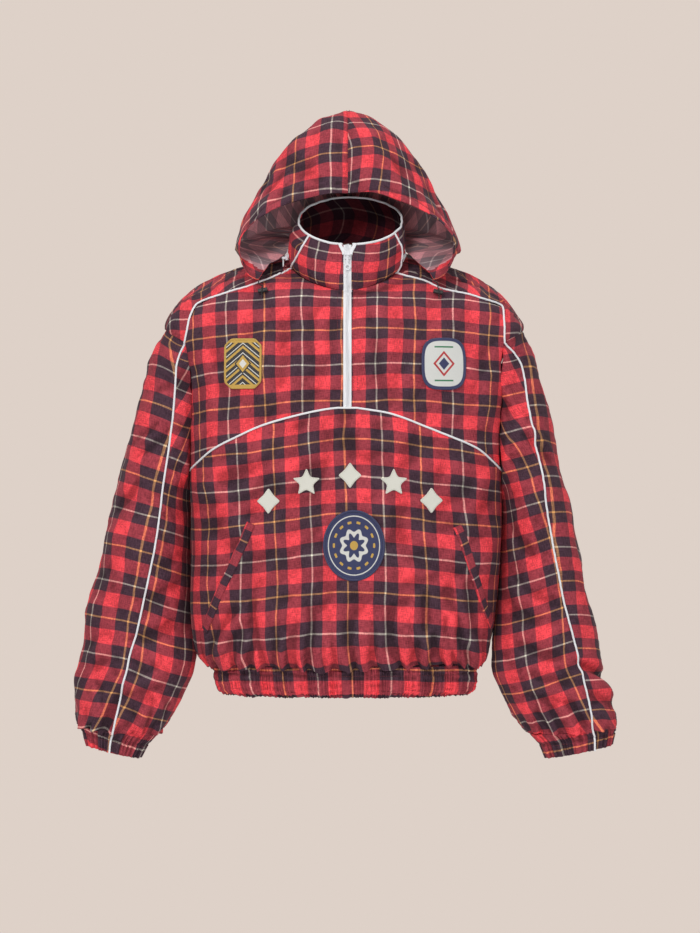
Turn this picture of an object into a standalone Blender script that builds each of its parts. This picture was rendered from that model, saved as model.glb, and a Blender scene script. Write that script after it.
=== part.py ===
"""Hooded pullover track jacket with a half zip, filled out as worn with no wearer.

Metres, +Z up, the front faces -Y and the wearer's left is +X.  The origin is where the
wearer's neck carries the jacket: level with the high shoulder points, midway between them.

Two forms carry all the cloth.  The trunk is a stack of rings from hem to neck, and the collar
goes on from the neck ring.  Each sleeve is a fan of rings from its armhole to its cuff.  Every
cut piece is a patch of one of these forms between its seams, given a wall.
"""
from bisect import bisect_left
from functools import lru_cache
from math import acos, atan2, cos, degrees, hypot, pi, radians, sin

import bpy
import numpy as np
from mathutils import Matrix, Vector

NAME = "track_jacket"

# Cloth walls and gaps
CLOTH = 0.0016          # body cloth with its seam turnings
BAND = 0.0030           # gathered double cloth over elastic
SEAM = 0.00022          # each edge stands this far back from its seam line
LIFT = 0.0006           # clear height of what lies on a panel
PIPING_WIDTH, PIPING_RISE = 0.0040, 0.0018

# Trunk rings from hem to neck: side height, half width, centre, front and back depth,
# squareness of the section, and how much the ring plane climbs towards the back
TRUNK = np.array([
    # z       half    centre   front  back   square  climb
    (-0.6195, 0.2035, -0.0020, 0.118, 0.120, 2.30, 0.00),
    (-0.6050, 0.2235, -0.0060, 0.131, 0.132, 2.40, 0.00),
    (-0.5850, 0.2300, -0.0070, 0.138, 0.139, 2.50, 0.00),
    (-0.5450, 0.2355, -0.0050, 0.141, 0.141, 2.60, 0.00),
    (-0.4600, 0.2395, -0.0010, 0.142, 0.141, 2.70, 0.00),
    (-0.3600, 0.2410, 0.0000, 0.141, 0.141, 2.80, 0.00),
    (-0.2700, 0.2430, 0.0000, 0.139, 0.142, 2.80, 0.02),
    (-0.1900, 0.2500, 0.0000, 0.133, 0.143, 2.70, 0.05),
    (-0.1400, 0.2650, -0.0010, 0.125, 0.141, 2.50, 0.08),
    (-0.0980, 0.2785, -0.0030, 0.115, 0.135, 2.35, 0.12),
    (-0.0750, 0.2680, -0.0050, 0.109, 0.130, 2.25, 0.17),
    (-0.0546, 0.2520, -0.0040, 0.104, 0.124, 2.15, 0.23),
    (-0.0360, 0.2265, -0.0025, 0.098, 0.115, 2.10, 0.30),
    (-0.0205, 0.1950, -0.0010, 0.092, 0.105, 2.00, 0.37),
    (-0.0100, 0.1560, 0.0000, 0.087, 0.094, 1.90, 0.44),
    (-0.0040, 0.1160, 0.0000, 0.084, 0.084, 1.75, 0.50),
    (-0.0010, 0.0845, 0.0000, 0.082, 0.078, 1.60, 0.52),
])
# Collar rings, the first of them the neck ring
COLLAR = np.array([
    (-0.0010, 0.0845, 0.0000, 0.082, 0.078, 1.60, 0.52),
    (0.0160, 0.0900, 0.0005, 0.083, 0.079, 1.80, 0.53),
    (0.0420, 0.0900, 0.0030, 0.080, 0.078, 1.95, 0.55),
    (0.0700, 0.0815, 0.0065, 0.074, 0.071, 2.00, 0.59),
])
HEM_BAND = np.array([
    (-0.6660, 0.1915, 0.0005, 0.112, 0.114, 2.30, 0.00),
    (-0.6560, 0.2020, 0.0000, 0.118, 0.120, 2.30, 0.00),
    (-0.6320, 0.2045, -0.0010, 0.119, 0.121, 2.30, 0.00),
    (-0.6195, 0.2035, -0.0020, 0.118, 0.120, 2.30, 0.00),
])

# Armhole round the trunk, from the underarm over the front and the shoulder to the back:
# turn round the sleeve, bearing round the trunk and side height
ARMHOLE = np.array([
    # turn  bearing  z
    (0, 90.0, -0.3600), (25, 84.5, -0.3420), (50, 79.5, -0.2900), (75, 74.0, -0.2350),
    (100, 69.0, -0.1850), (125, 63.5, -0.1420), (145, 61.5, -0.1175), (165, 76.0, -0.1040),
    (180, 90.0, -0.0980), (200, 102.0, -0.1050), (225, 110.0, -0.1350), (250, 112.0, -0.1850),
    (275, 110.0, -0.2350), (305, 104.0, -0.2900), (335, 96.0, -0.3420), (360, 90.0, -0.3600),
])
ARCH_TURN, YOKE_TURN, TOP_TURN = 37, 145, 180
TURNS = (0, 12, 24, ARCH_TURN, 58, 80, 102, 124, YOKE_TURN, 163, TOP_TURN,
         202, 224, 246, 268, 290, 312, 336, 360)

# Sleeve rings below the armhole.  Each lies in an upright plane from its inner point, next to
# the trunk, to its outer point: heights below the origin, distances from the middle for the
# wearer's right and left sleeve, half depth, centre depth and how far the front bows inwards
SLEEVE = np.array([
    # in z   out z   in R    in L    out R   out L   depth   mid y   bow
    (0.3640, 0.1290, 0.2424, 0.2424, 0.2990, 0.2900, 0.0800, 0.010, 0.015),
    (0.3720, 0.1720, 0.2440, 0.2440, 0.3120, 0.3030, 0.0870, 0.012, 0.008),
    (0.3920, 0.2550, 0.2452, 0.2450, 0.3350, 0.3240, 0.0930, 0.013, 0.002),
    (0.4250, 0.3450, 0.2458, 0.2452, 0.3560, 0.3425, 0.0930, 0.012, 0.0),
    (0.4700, 0.4180, 0.2460, 0.2450, 0.3740, 0.3600, 0.0880, 0.008, 0.0),
    (0.5250, 0.4920, 0.2455, 0.2410, 0.3910, 0.3760, 0.0790, 0.003, 0.0),
    (0.5800, 0.5560, 0.2420, 0.2330, 0.4050, 0.3880, 0.0710, -0.003, 0.0),
    (0.6250, 0.6060, 0.2380, 0.2270, 0.4130, 0.3960, 0.0650, -0.008, 0.0),
    (0.6620, 0.6480, 0.2500, 0.2400, 0.4185, 0.4020, 0.0610, -0.012, 0.0),
    (0.6980, 0.6960, 0.2690, 0.2590, 0.4190, 0.4170, 0.0570, -0.014, 0.0),
    (0.7300, 0.7180, 0.2930, 0.2860, 0.4140, 0.4180, 0.0480, -0.015, 0.0),
])
# Where the front piping crosses the armhole and each ring, as a share of the way outwards
PIPING_RIGHT = (0.62, 0.50, 0.42, 0.385, 0.405, 0.445, 0.49, 0.54, 0.545, 0.545, 0.53)
PIPING_LEFT = (0.82, 0.72, 0.65, 0.61, 0.61, 0.64, 0.70, 0.75, 0.76, 0.72, 0.69)
CUFF = np.array([
    (0.7300, 0.7180, 0.2930, 0.2860, 0.4140, 0.4180, 0.0480, -0.015, 0.0),
    (0.7450, 0.7260, 0.3060, 0.2990, 0.4105, 0.4175, 0.0440, -0.015, 0.0),
    (0.7660, 0.7450, 0.3180, 0.3080, 0.4050, 0.4140, 0.0400, -0.016, 0.0),
])

# Seams across the front, as seen from the front: x and z
YOKE_RIGHT = ((-0.2310, -0.0655), (-0.1950, -0.0520), (-0.1620, -0.0415), (-0.1220, -0.0265))
YOKE_LEFT = ((0.2410, -0.0690), (0.2040, -0.0560), (0.1600, -0.0440), (0.1180, -0.0250))
NECK_RIGHT, NECK_LEFT = 82.0, 68.0       # bearings of the shoulder seams at the neck
ARCH_RIGHT = ((-0.2020, -0.2890), (-0.1640, -0.2680), (-0.1260, -0.2510), (-0.0900, -0.2400),
              (-0.0560, -0.2320), (-0.0280, -0.2270))
ARCH_LEFT = ((0.0320, -0.2275), (0.0600, -0.2320), (0.0920, -0.2420), (0.1280, -0.2560),
             (0.1660, -0.2710), (0.2030, -0.2880))
ARCH_TOP = -0.2240

# Front zip: centre line, half width of the closed coil and its tapes, and its wall
ZIP_X, ZIP_HALF, ZIP_WALL = 0.0020, 0.0062, 0.0016

# Hood sections from the opening to the centre back: bearing at which the neck edge meets the
# hood zip (0 in front of it, where the corner hangs free), widest half width and its height,
# top, and the shape
HOOD = np.array([
    # share  bearing  half   wide z  top y   top z  shape
    (0.00, 0, 0.1650, 0.030, -0.004, 0.1120, 1.75),
    (0.10, 0, 0.1715, 0.023, 0.010, 0.1530, 1.62),
    (0.22, 96, 0.1745, 0.024, 0.031, 0.1920, 1.52),
    (0.35, 106, 0.1720, 0.030, 0.062, 0.2290, 1.50),
    (0.48, 116, 0.1660, 0.040, 0.100, 0.2530, 1.54),
    (0.62, 133, 0.1490, 0.052, 0.144, 0.2510, 1.65),
    (0.76, 150, 0.1160, 0.062, 0.174, 0.2200, 1.78),
    (0.89, 166, 0.0640, 0.070, 0.180, 0.1650, 1.90),
    (1.00, 180, 0.0000, 0.072, 0.158, 0.1080, 2.00),
])
HOOD_CORNER = Vector((0.1340, -0.0740, -0.0275))
HOOD_EDGE_STEP = Vector((0.1190, -0.0430, -0.0050))
HOOD_X = 0.0030                          # the hood stands a little to the wearer's left
HOOD_WIDEST = 0.25                       # rise at which a section is widest
HOOD_STEP = 0.22                         # share at which the neck edge reaches the zip
HOOD_GAP = 0.0031                        # from the collar to the neck edge beside the tape
HOOD_ZIP_LEVEL, HOOD_ZIP_RISE = 1.10, 0.0085
HOOD_ZIP_START = {-1: 78.5, 1: 75.0}     # bearings at which its tape starts behind the piping

# Pocket welts: upper and lower end of each slanted strip as seen from the front, x and z
WELT_RIGHT = ((-0.1440, -0.4000), (-0.2170, -0.5640))
WELT_LEFT = ((0.1690, -0.4040), (0.2250, -0.5600))
WELT_WIDTH, WELT_WALL = 0.0145, 0.0016

# Sewn patches: centre x and z, half width and half height
GOLD_PATCH = (-0.1565, -0.1575, 0.0280, 0.0380)
CREAM_PATCH = (0.1480, -0.1580, 0.0330, 0.0390)
NAVY_PATCH = (0.0120, -0.4330, 0.0460, 0.0530)
PATCH_WALL, FELT_WALL = 0.0020, 0.0028
# Felt motifs on a shallow bow under the arch: x, z, radius and number of points
MOTIFS = ((-0.1180, -0.3660, 0.0200, 4), (-0.0600, -0.3380, 0.0225, 5), (0.0060, -0.3270, 0.0200, 4),
          (0.0720, -0.3380, 0.0225, 5), (0.1290, -0.3650, 0.0200, 4))

# Cord ends at the hood corners
CORD = 0.0018
LOCK_RADIUS, LOCK_LENGTH = 0.0036, 0.0150
LOCK_SPOT = {-1: (0.1270, -0.0480), 1: (0.1400, -0.0500)}      # x and z on the chest
CORD_STEPS = 19
# The cord's way over its lock: height above the lock's middle and distance out from it
CORD_OVER_LOCK = ((0.0054, 0.0036), (0.0, 0.0052), (-0.0046, 0.0028), (-0.0077, -0.0018),
                  (-0.0115, -0.0044))

# Sliders and pull tabs
SLIDER_WIDTH, SLIDER_LENGTH, SLIDER_WALL = 0.0095, 0.0130, 0.0034
PIN, BARREL, EYE_CLEAR = 0.0008, 0.0021, 0.00035
SEAT = BARREL + 0.0009                   # from the pin to the face of the slider body
TAB_WALL, TAB_WIDTH = 0.0015, 0.0040
FRONT_SLIDER_LEVEL = 2.42                # on the collar
HOOD_SLIDER_BEARING = 79.5
FRONT_REACH = SEAT + SLIDER_WALL + 0.0004
HOOD_REACH = FRONT_REACH + 0.0024        # the hood zip's tape lies on the collar

COLOURS = {
    "check_cloth": ((0.48, 0.09, 0.10), 0.75, 0.0), "white_piping": ((0.86, 0.87, 0.90), 0.5, 0.0),
    "zip_white": ((0.86, 0.87, 0.90), 0.45, 0.0), "zip_metal": ((0.86, 0.87, 0.89), 0.35, 0.0),
    "black_fitting": ((0.01, 0.01, 0.012), 0.4, 0.0), "navy_patch": ((0.02, 0.03, 0.10), 0.8, 0.0),
    "gold_patch": ((0.55, 0.35, 0.08), 0.8, 0.0), "cream_felt": ((0.80, 0.79, 0.70), 0.95, 0.0),
    "cream_patch": ((0.78, 0.78, 0.74), 0.85, 0.0), "black_cord": ((0.01, 0.01, 0.012), 0.7, 0.0),
}


# ---------------------------------------------------------------- curves and forms

class Track:
    """Cubic through its knots that never swings past the values it joins."""

    def __init__(self, knots, values):
        self.knots = [float(k) for k in knots]
        self.values = [float(v) for v in values]
        self.steps = [b - a for a, b in zip(self.knots, self.knots[1:])]
        slopes = [(b - a) / step for a, b, step in zip(self.values, self.values[1:], self.steps)]
        self.tangents = [slopes[0]]
        for before, after in zip(slopes, slopes[1:]):
            self.tangents.append(2 / (1 / before + 1 / after) if before * after > 0 else 0.0)
        self.tangents.append(slopes[-1])

    def __call__(self, at):
        i = min(max(bisect_left(self.knots, at) - 1, 0), len(self.steps) - 1)
        step = self.steps[i]
        t = (at - self.knots[i]) / step
        return ((2 * t ** 3 - 3 * t ** 2 + 1) * self.values[i]
                + (t ** 3 - 2 * t ** 2 + t) * step * self.tangents[i]
                + (3 * t ** 2 - 2 * t ** 3) * self.values[i + 1]
                + (t ** 3 - t ** 2) * step * self.tangents[i + 1])


class Path:
    """A smooth line through points, at their own stops."""

    def __init__(self, stops, points):
        self.tracks = [Track(stops, [p[axis] for p in points]) for axis in range(3)]

    def __call__(self, at):
        return Vector([track(at) for track in self.tracks])


def power(value, exponent):
    """A signed power, for the rounded squares of the sections."""
    return abs(value) ** exponent * (1 if value >= 0 else -1)


class Rings:
    """A form made of level rings: bearing 0 is the centre front, 90 the wearer's left side."""

    def __init__(self, table):
        self.top = len(table) - 1
        self.tracks = [Track(range(len(table)), table[:, column]) for column in range(table.shape[1])]

    def __call__(self, bearing, level):
        z, half, centre, front, back, square, climb = (track(level) for track in self.tracks)
        across, along = sin(radians(bearing)), cos(radians(bearing))
        y = -(front if along >= 0 else back) * power(along, 2 / square)
        return Vector((centre + half * power(across, 2 / square), y, z + climb * y))

    def bearing_at(self, x, level):
        """Bearing on the front of a ring at a distance from the middle."""
        half, centre, square = (self.tracks[column](level) for column in (1, 2, 5))
        share = max(-1.0, min(1.0, (x - centre) / half))
        return degrees(atan2(power(share, square / 2), max(1e-9, 1 - abs(share) ** square) ** 0.5))

    def level_where(self, height_at, z):
        """Level at which a rising height reaches z."""
        low, high = 0.0, float(self.top)
        for _ in range(36):
            mid = (low + high) / 2
            if height_at(mid) < z:
                low = mid
            else:
                high = mid
        return (low + high) / 2


def normal_of(point_at, u, v, du, dv):
    """Outward normal of a form at a place, from the form a little way to each side."""
    across = point_at(u + du, v) - point_at(u - du, v)
    up = point_at(u, v + dv) - point_at(u, v - dv)
    return across.cross(up).normalized()


trunk, collar, hem_band = Rings(TRUNK), Rings(COLLAR), Rings(HEM_BAND)
armhole_bearing = Track(ARMHOLE[:, 0], ARMHOLE[:, 1])
armhole_height = Track(ARMHOLE[:, 0], ARMHOLE[:, 2])


@lru_cache(maxsize=None)
def front_place(x, z):
    """Bearing and level of the trunk seen at x and z from the front."""
    level = trunk.level_where(lambda at: trunk(trunk.bearing_at(x, at), at).z, z)
    return trunk.bearing_at(x, level), level


@lru_cache(maxsize=None)
def armhole_place(side, turn):
    """Bearing and level of the armhole at a turn, on the wearer's right (-1) or left (1)."""
    level = trunk.level_where(lambda at: trunk(90, at).z, armhole_height(turn))
    return side * armhole_bearing(turn), level


def sleeve_ring(rings, row, side, turn):
    """Point of one sleeve ring: turn 0 is next to the trunk, 90 the front, 180 outside."""
    in_z, out_z, in_right, in_left, out_right, out_left, depth, mid, bow = rings[row]
    inner = Vector((in_right if side < 0 else in_left, 0, -in_z))
    outer = Vector((out_right if side < 0 else out_left, 0, -out_z))
    across, front = cos(radians(turn)), sin(radians(turn))
    point = (inner + outer) / 2 + (inner - outer) / 2 * power(across, 0.92)
    return Vector((side * (point.x - bow * front * front), mid - depth * power(front, 0.92), point.z))


def sleeve(side):
    """The sleeve's form: turn round it, and level 0 at the armhole to its last ring."""
    @lru_cache(maxsize=None)
    def line_at(turn):
        stack = [trunk(*armhole_place(side, turn % 360))]
        stack += [sleeve_ring(SLEEVE, row, side, turn) for row in range(len(SLEEVE))]
        return Path(range(len(stack)), stack)
    return lambda turn, level: line_at(turn)(level)


def cuff(side):
    @lru_cache(maxsize=None)
    def line_at(turn):
        return Path(range(len(CUFF)), [sleeve_ring(CUFF, row, side, turn) for row in range(len(CUFF))])
    return lambda turn, level: line_at(turn)(level)


def piping_track(shares):
    return Track(range(len(shares) + 1), [YOKE_TURN] + [degrees(acos(1 - 2 * s)) for s in shares])


PIPING_TRACKS = {-1: piping_track(PIPING_RIGHT), 1: piping_track(PIPING_LEFT)}


def piping_turn(side, level):
    """Turn round the sleeve at which its front piping runs."""
    return PIPING_TRACKS[side](level)


HOOD_TRACKS = [Track(HOOD[:, 0], HOOD[:, column]) for column in range(HOOD.shape[1])]
def hood_zip_point(bearing, out):
    """Point beside the collar at the hood zip, on the wearer's left."""
    return collar(bearing, HOOD_ZIP_LEVEL) + normal_of(collar, bearing, HOOD_ZIP_LEVEL, 1, 0.02) * out


@lru_cache(maxsize=None)
def hood_base(share):
    """Neck edge of the hood on the wearer's left: a free corner, then along the hood zip."""
    if share >= HOOD_STEP:
        return hood_zip_point(HOOD_TRACKS[1](share), HOOD_GAP)
    reach = hood_zip_point(HOOD_TRACKS[1](HOOD_STEP), HOOD_GAP)
    return Path((0.0, 0.10, HOOD_STEP), (HOOD_CORNER, HOOD_EDGE_STEP, reach))(share)


def mirrored(point, side):
    return Vector((side * point.x, point.y, point.z))


def hood(side):
    """One half of the hood: share 0 at the opening to 1 at the centre back, rise 0 at the neck
    edge to 1 at the centre seam."""
    def point_at(share, rise):
        half, wide, top_y, top_z, shape = (HOOD_TRACKS[column](share) for column in (2, 3, 4, 5, 6))
        base = hood_base(share)
        if rise >= HOOD_WIDEST:
            turn = radians(90) * (rise - HOOD_WIDEST) / (1 - HOOD_WIDEST)
            x = half * max(0.0, cos(turn)) ** (2 / shape)
            z = wide + (top_z - wide) * sin(turn) ** (2 / shape)
            climb = (1 - cos(turn)) * 0.55 + 0.45 * (z - wide) / (top_z - wide)
            y = base.y + (top_y - base.y) * (0.12 + 0.88 * climb)
        else:
            swing = sin(radians(90) * rise / HOOD_WIDEST)
            drop = 1 - cos(radians(90) * rise / HOOD_WIDEST)
            x = base.x + (half - base.x) * swing
            z = base.z + (wide - base.z) * drop
            y = base.y + (top_y - base.y) * 0.12 * drop
        return Vector((side * x + HOOD_X * rise, y, z))
    return point_at


# ---------------------------------------------------------------- cloth

def coons(bottom, top, left, right):
    """Grid of places between four seam lines, whose ends meet at the corners."""
    bottom, top, left, right = (np.array(line, float) for line in (bottom, top, left, right))
    grid = []
    for j in range(len(left)):
        w = j / (len(left) - 1)
        row = []
        for i in range(len(bottom)):
            u = i / (len(bottom) - 1)
            corners = ((1 - u) * (1 - w) * bottom[0] + u * (1 - w) * bottom[-1]
                       + (1 - u) * w * top[0] + u * w * top[-1])
            row.append(tuple((1 - w) * bottom[i] + w * top[i] + (1 - u) * left[j] + u * right[j] - corners))
        grid.append(row)
    return grid


def front_grid(bottom, top, left, right):
    """Places between four seam lines on the front, spaced as they are seen from the front."""
    views = [[(trunk(u, v).x, trunk(u, v).z) for u, v in line] for line in (bottom, top, left, right)]
    grid = [[front_place(x, z) for x, z in row] for row in coons(*views)]
    grid[0], grid[-1] = list(bottom), list(top)
    for j, (start, end) in enumerate(zip(left, right)):
        grid[j][0], grid[j][-1] = start, end
    return grid


def spread(start, end, count):
    """Places evenly from one to another, both ends included."""
    start, end = np.array(start, float), np.array(end, float)
    return [tuple(start + (end - start) * k / (count - 1)) for k in range(count)]


def patch(form, grid, du=0.5, dv=0.02):
    """Points and outward normals of a form over a grid of places."""
    return ([[form(u, v) for u, v in row] for row in grid],
            [[normal_of(form, u, v, du, dv) for u, v in row] for row in grid])


def cloth(name, patches, wall, material, back_off=SEAM):
    """One closed solid from patches that share their edges: the face, moved back from its
    seams, the inside a wall deeper along the normals, and rims round every edge."""
    verts, facing, index, quads = [], [], {}, []
    for points, normals in patches:
        ids = []
        for row, row_normals in zip(points, normals):
            line = []
            for point, normal in zip(row, row_normals):
                key = tuple(round(c * 1e5) for c in point)
                if key not in index:
                    index[key] = len(verts)
                    verts.append(point.copy())
                    facing.append(normal.copy())
                line.append(index[key])
            ids.append(line)
        quads += oriented(ids, verts, facing)
    edges = {}
    for face in quads:
        for a, b in zip(face, face[1:] + face[:1]):
            edges[(a, b)] = face
    border = [(a, b) for a, b in edges if (b, a) not in edges]
    inward = {}
    for a, b in border:
        middle = sum((verts[k] for k in edges[(a, b)]), Vector()) / len(edges[(a, b)])
        along = (verts[b] - verts[a]).normalized()
        pull = (middle - verts[a]) - along * (middle - verts[a]).dot(along)
        for k in (a, b):
            inward.setdefault(k, []).append(pull.normalized())
    for k, pulls in inward.items():
        share = sum(pulls, Vector()).normalized()
        verts[k] = verts[k] + share * (back_off / max(0.5, share.dot(pulls[0])))
    count = len(verts)
    inner = [p - n * wall for p, n in zip(verts, facing)]
    halves = [half for face in quads for half in split(face, verts, facing)]
    faces = halves + [tuple(k + count for k in reversed(half)) for half in halves]
    faces += [(b, a, a + count, b + count) for a, b in border]
    mesh = bpy.data.meshes.new(name)
    mesh.from_pydata(verts + inner, [], faces)
    return place(name, mesh, material)


def oriented(ids, verts, facing):
    """Faces of one patch, turned so that they look along its normals."""
    faces = []
    for low, high in zip(ids, ids[1:]):
        for a, b, c, d in zip(low, low[1:], high[1:], high):
            face = tuple(dict.fromkeys((a, b, c, d)))
            if len(face) < 3:
                continue
            normal = (verts[face[1]] - verts[face[0]]).cross(verts[face[2]] - verts[face[1]])
            if len(face) == 4:
                normal = (verts[c] - verts[a]).cross(verts[d] - verts[b])
            outward = sum((facing[k] for k in face), Vector())
            faces.append(face if normal.dot(outward) > 0 else face[::-1])
    return faces


def split(face, verts, facing):
    """Two triangles of a four-sided face, along the diagonal that stands further out."""
    if len(face) == 3:
        return [face]
    a, b, c, d = face
    outward = sum((facing[k] for k in face), Vector())
    if (verts[a] + verts[c] - verts[b] - verts[d]).dot(outward) > 0:
        return [(a, b, c), (a, c, d)]
    return [(a, b, d), (b, c, d)]


def material_for(key):
    found = bpy.data.materials.get(key)
    if found:
        return found
    colour, roughness, metallic = COLOURS[key]
    made = bpy.data.materials.new(key)
    made.use_nodes = True
    shader = made.node_tree.nodes["Principled BSDF"]
    shader.inputs["Base Color"].default_value = (*colour, 1)
    shader.inputs["Roughness"].default_value = roughness
    shader.inputs["Metallic"].default_value = metallic
    return made


def place(name, mesh, material):
    piece = bpy.data.objects.new(name, mesh)
    mesh.materials.append(material_for(material))
    bpy.data.collections[NAME].objects.link(piece)
    return piece


# ---------------------------------------------------------------- seam lines

def armhole_line(side, first, last):
    return [armhole_place(side, turn) for turn in TURNS if first <= turn <= last]


def front_line(points):
    return [front_place(x, z) for x, z in points]


def neck_place(bearing):
    return bearing, float(trunk.top)


def shoulder_seam(side):
    """From the armhole round the corner and up to the neck."""
    points = YOKE_RIGHT if side < 0 else YOKE_LEFT
    neck = side * (NECK_RIGHT if side < 0 else NECK_LEFT)
    return [armhole_place(side, YOKE_TURN)] + front_line(points) + [neck_place(neck)]


def neck_front(side):
    """Neck seam from the shoulder seam to the zip."""
    start = side * (NECK_RIGHT if side < 0 else NECK_LEFT)
    end = trunk.bearing_at(ZIP_X + side * ZIP_HALF, trunk.top)
    return [neck_place(b) for b in np.linspace(start, end, 4)]


def arch_seam(side):
    """Chest arch from the armhole to the zip."""
    points = ARCH_RIGHT if side < 0 else tuple(reversed(ARCH_LEFT))
    return ([armhole_place(side, ARCH_TURN)] + front_line(points)
            + [front_place(ZIP_X + side * ZIP_HALF, ARCH_TOP)])


def zip_line(side):
    """Front opening from the arch up to the neck, one place for each row of the yoke."""
    start = arch_seam(side)[-1][1]
    levels = np.linspace(start, trunk.top, 7)
    return [(trunk.bearing_at(ZIP_X + side * ZIP_HALF, level), level) for level in levels]


SIDE_LEVELS = (0.0, 0.5, 1.0, 2.0, 3.0, 3.5, 4.0, 4.5, 5.0)
RIDGE_ROWS = 6
BACK_BEARINGS = np.linspace(90, 270, 19)


# ---------------------------------------------------------------- trunk pieces

def make_yoke(name, side):
    """Chest panel between the zip, the arch, the armhole and the shoulder seam."""
    corner = shoulder_seam(side)[1]
    grid = front_grid(arch_seam(side), yoke_top(side),
                      armhole_line(side, ARCH_TURN, YOKE_TURN) + [corner], zip_line(side))
    return cloth(name, [patch(trunk, grid)], CLOTH, "check_cloth")


def yoke_top(side):
    """Shoulder seam from its corner, then along the neck to the zip."""
    return shoulder_seam(side)[1:] + neck_front(side)[1:]


def make_front_lower():
    """Front below the arch, from side seam to side seam."""
    top = (armhole_line(-1, 0, ARCH_TURN)[:-1] + arch_seam(-1)
           + arch_seam(1)[::-1] + armhole_line(1, 0, ARCH_TURN)[::-1][1:])
    bearings = np.linspace(-90, 90, len(top))
    grid = coons([(b, 0.0) for b in bearings], top,
                 [(-90.0, level) for level in SIDE_LEVELS], [(90.0, level) for level in SIDE_LEVELS])
    return cloth("front_lower", [patch(trunk, grid)], CLOTH, "check_cloth")


def make_back():
    """Back panel, which wraps forward over both shoulders to the shoulder seams."""
    top = float(trunk.top)
    ridge = spread(armhole_place(1, TOP_TURN), (90.0, top), RIDGE_ROWS)
    left = ([(90.0, level) for level in SIDE_LEVELS[:-1]] + armhole_line(1, TOP_TURN, 360)[::-1]
            + ridge[1:])
    right = [(360 - bearing, level) for bearing, level in left]
    grid = coons([(b, 0.0) for b in BACK_BEARINGS], [(b, top) for b in BACK_BEARINGS], left, right)
    patches = [patch(trunk, grid)]
    for side in (-1, 1):
        neck = side * (NECK_RIGHT if side < 0 else NECK_LEFT)
        line = [(side * bearing, level) for bearing, level in ridge]
        band = coons(shoulder_seam(side), line,
                     armhole_line(side, YOKE_TURN, TOP_TURN), spread((neck, top), (side * 90.0, top), 3))
        patches.append(patch(trunk, band))
    return cloth("back_panel", patches, CLOTH, "check_cloth")


def make_hem_band():
    front = np.linspace(-90, 90, len(arch_seam(-1)) * 2 + 6)
    bearings = list(front) + list(BACK_BEARINGS[1:])
    grid = [[(b, level) for b in bearings] for level in (0.0, 0.45, 1.0, 2.0, 3.0)]
    return cloth("hem_band", [patch(hem_band, grid)], BAND, "check_cloth")


# ---------------------------------------------------------------- sleeves

SLEEVE_LEVELS = (0.0, 0.5, 1.0, 2.0, 3.0, 4.0, 5.0, 6.0, 7.0, 8.0, 9.0, 10.0, 11.0)


def sleeve_turns(side, level, front):
    """Turns of the places across the front or the back piece of a sleeve at a level."""
    at = piping_turn(side, level)
    if front:
        return [turn / YOKE_TURN * at for turn in TURNS if turn <= YOKE_TURN]
    return [360 - (360 - turn) / (360 - YOKE_TURN) * (360 - at) for turn in TURNS if turn >= YOKE_TURN]


def make_sleeve(name, side, front):
    grid = [[(turn, level) for turn in sleeve_turns(side, level, front)] for level in SLEEVE_LEVELS]
    points, normals = patch(sleeve(side), grid, du=1.0)
    return cloth(name, [outward(points, normals)], CLOTH, "check_cloth")


def outward(points, normals):
    """Normals turned to point away from the middle of their own piece."""
    middle = sum((p for row in points for p in row), Vector()) / sum(len(row) for row in points)
    row, at = len(points) // 2, len(points[0]) // 2
    if (points[row][at] - middle).dot(normals[row][at]) < 0:
        return points, [[-n for n in line] for line in normals]
    return points, normals


def make_cuff(name, side):
    turns = sleeve_turns(side, SLEEVE_LEVELS[-1], True) + sleeve_turns(side, SLEEVE_LEVELS[-1], False)[1:]
    grid = [[(turn, level) for turn in turns] for level in (0.0, 1.0, 2.0)]
    points, normals = patch(cuff(side), grid, du=1.0)
    return cloth(name, [outward(points, normals)], BAND, "check_cloth")


# ---------------------------------------------------------------- collar and hood

COLLAR_LEVELS = (0.0, 0.7, 1.5, 2.25, 3.0)
COLLAR_SIDE = {-1: (NECK_RIGHT, 71.0, 62.0, 54.0, 51.0), 1: (NECK_LEFT, 70.0, 69.0, 64.0, 58.0)}


def collar_side(side):
    return [(side * bearing, level) for bearing, level in zip(COLLAR_SIDE[side], COLLAR_LEVELS)]


def collar_zip_line(side, share=1.0):
    """Edge of the collar beside the zip, or a share of the way to it from the zip's middle."""
    return [(collar.bearing_at(ZIP_X + side * ZIP_HALF * share, level), level) for level in COLLAR_LEVELS]


def make_collar_front(name, side):
    bottom = [(bearing, 0.0) for bearing, _ in neck_front(side)]
    top = spread(collar_side(side)[-1], collar_zip_line(side)[-1], len(bottom))
    grid = coons(bottom, top, collar_side(side), collar_zip_line(side))
    return cloth(name, [patch(collar, grid)], CLOTH, "check_cloth")


def make_collar_back():
    left = np.linspace(NECK_LEFT, 90, 3)
    right = 360 - np.linspace(90, NECK_RIGHT, 3)
    bottom = [(b, 0.0) for b in (*left[:-1], *BACK_BEARINGS, *right[1:])]
    end = [(360 - bearing, level) for bearing, level in zip(COLLAR_SIDE[-1], COLLAR_LEVELS)]
    top = spread(collar_side(1)[-1], end[-1], len(bottom))
    grid = coons(bottom, top, collar_side(1), end)
    return cloth("collar_back", [patch(collar, grid)], CLOTH, "check_cloth")


HOOD_RISES = (0.0, 0.12, 0.25, 0.36, 0.48, 0.60, 0.72, 0.84, 0.93, 1.0)
HOOD_SHARES = (0.0, 0.05, 0.10, 0.16, 0.22, 0.285, 0.35, 0.415, 0.48, 0.55, 0.62, 0.69, 0.76,
               0.83, 0.89, 0.95, 1.0)


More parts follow.
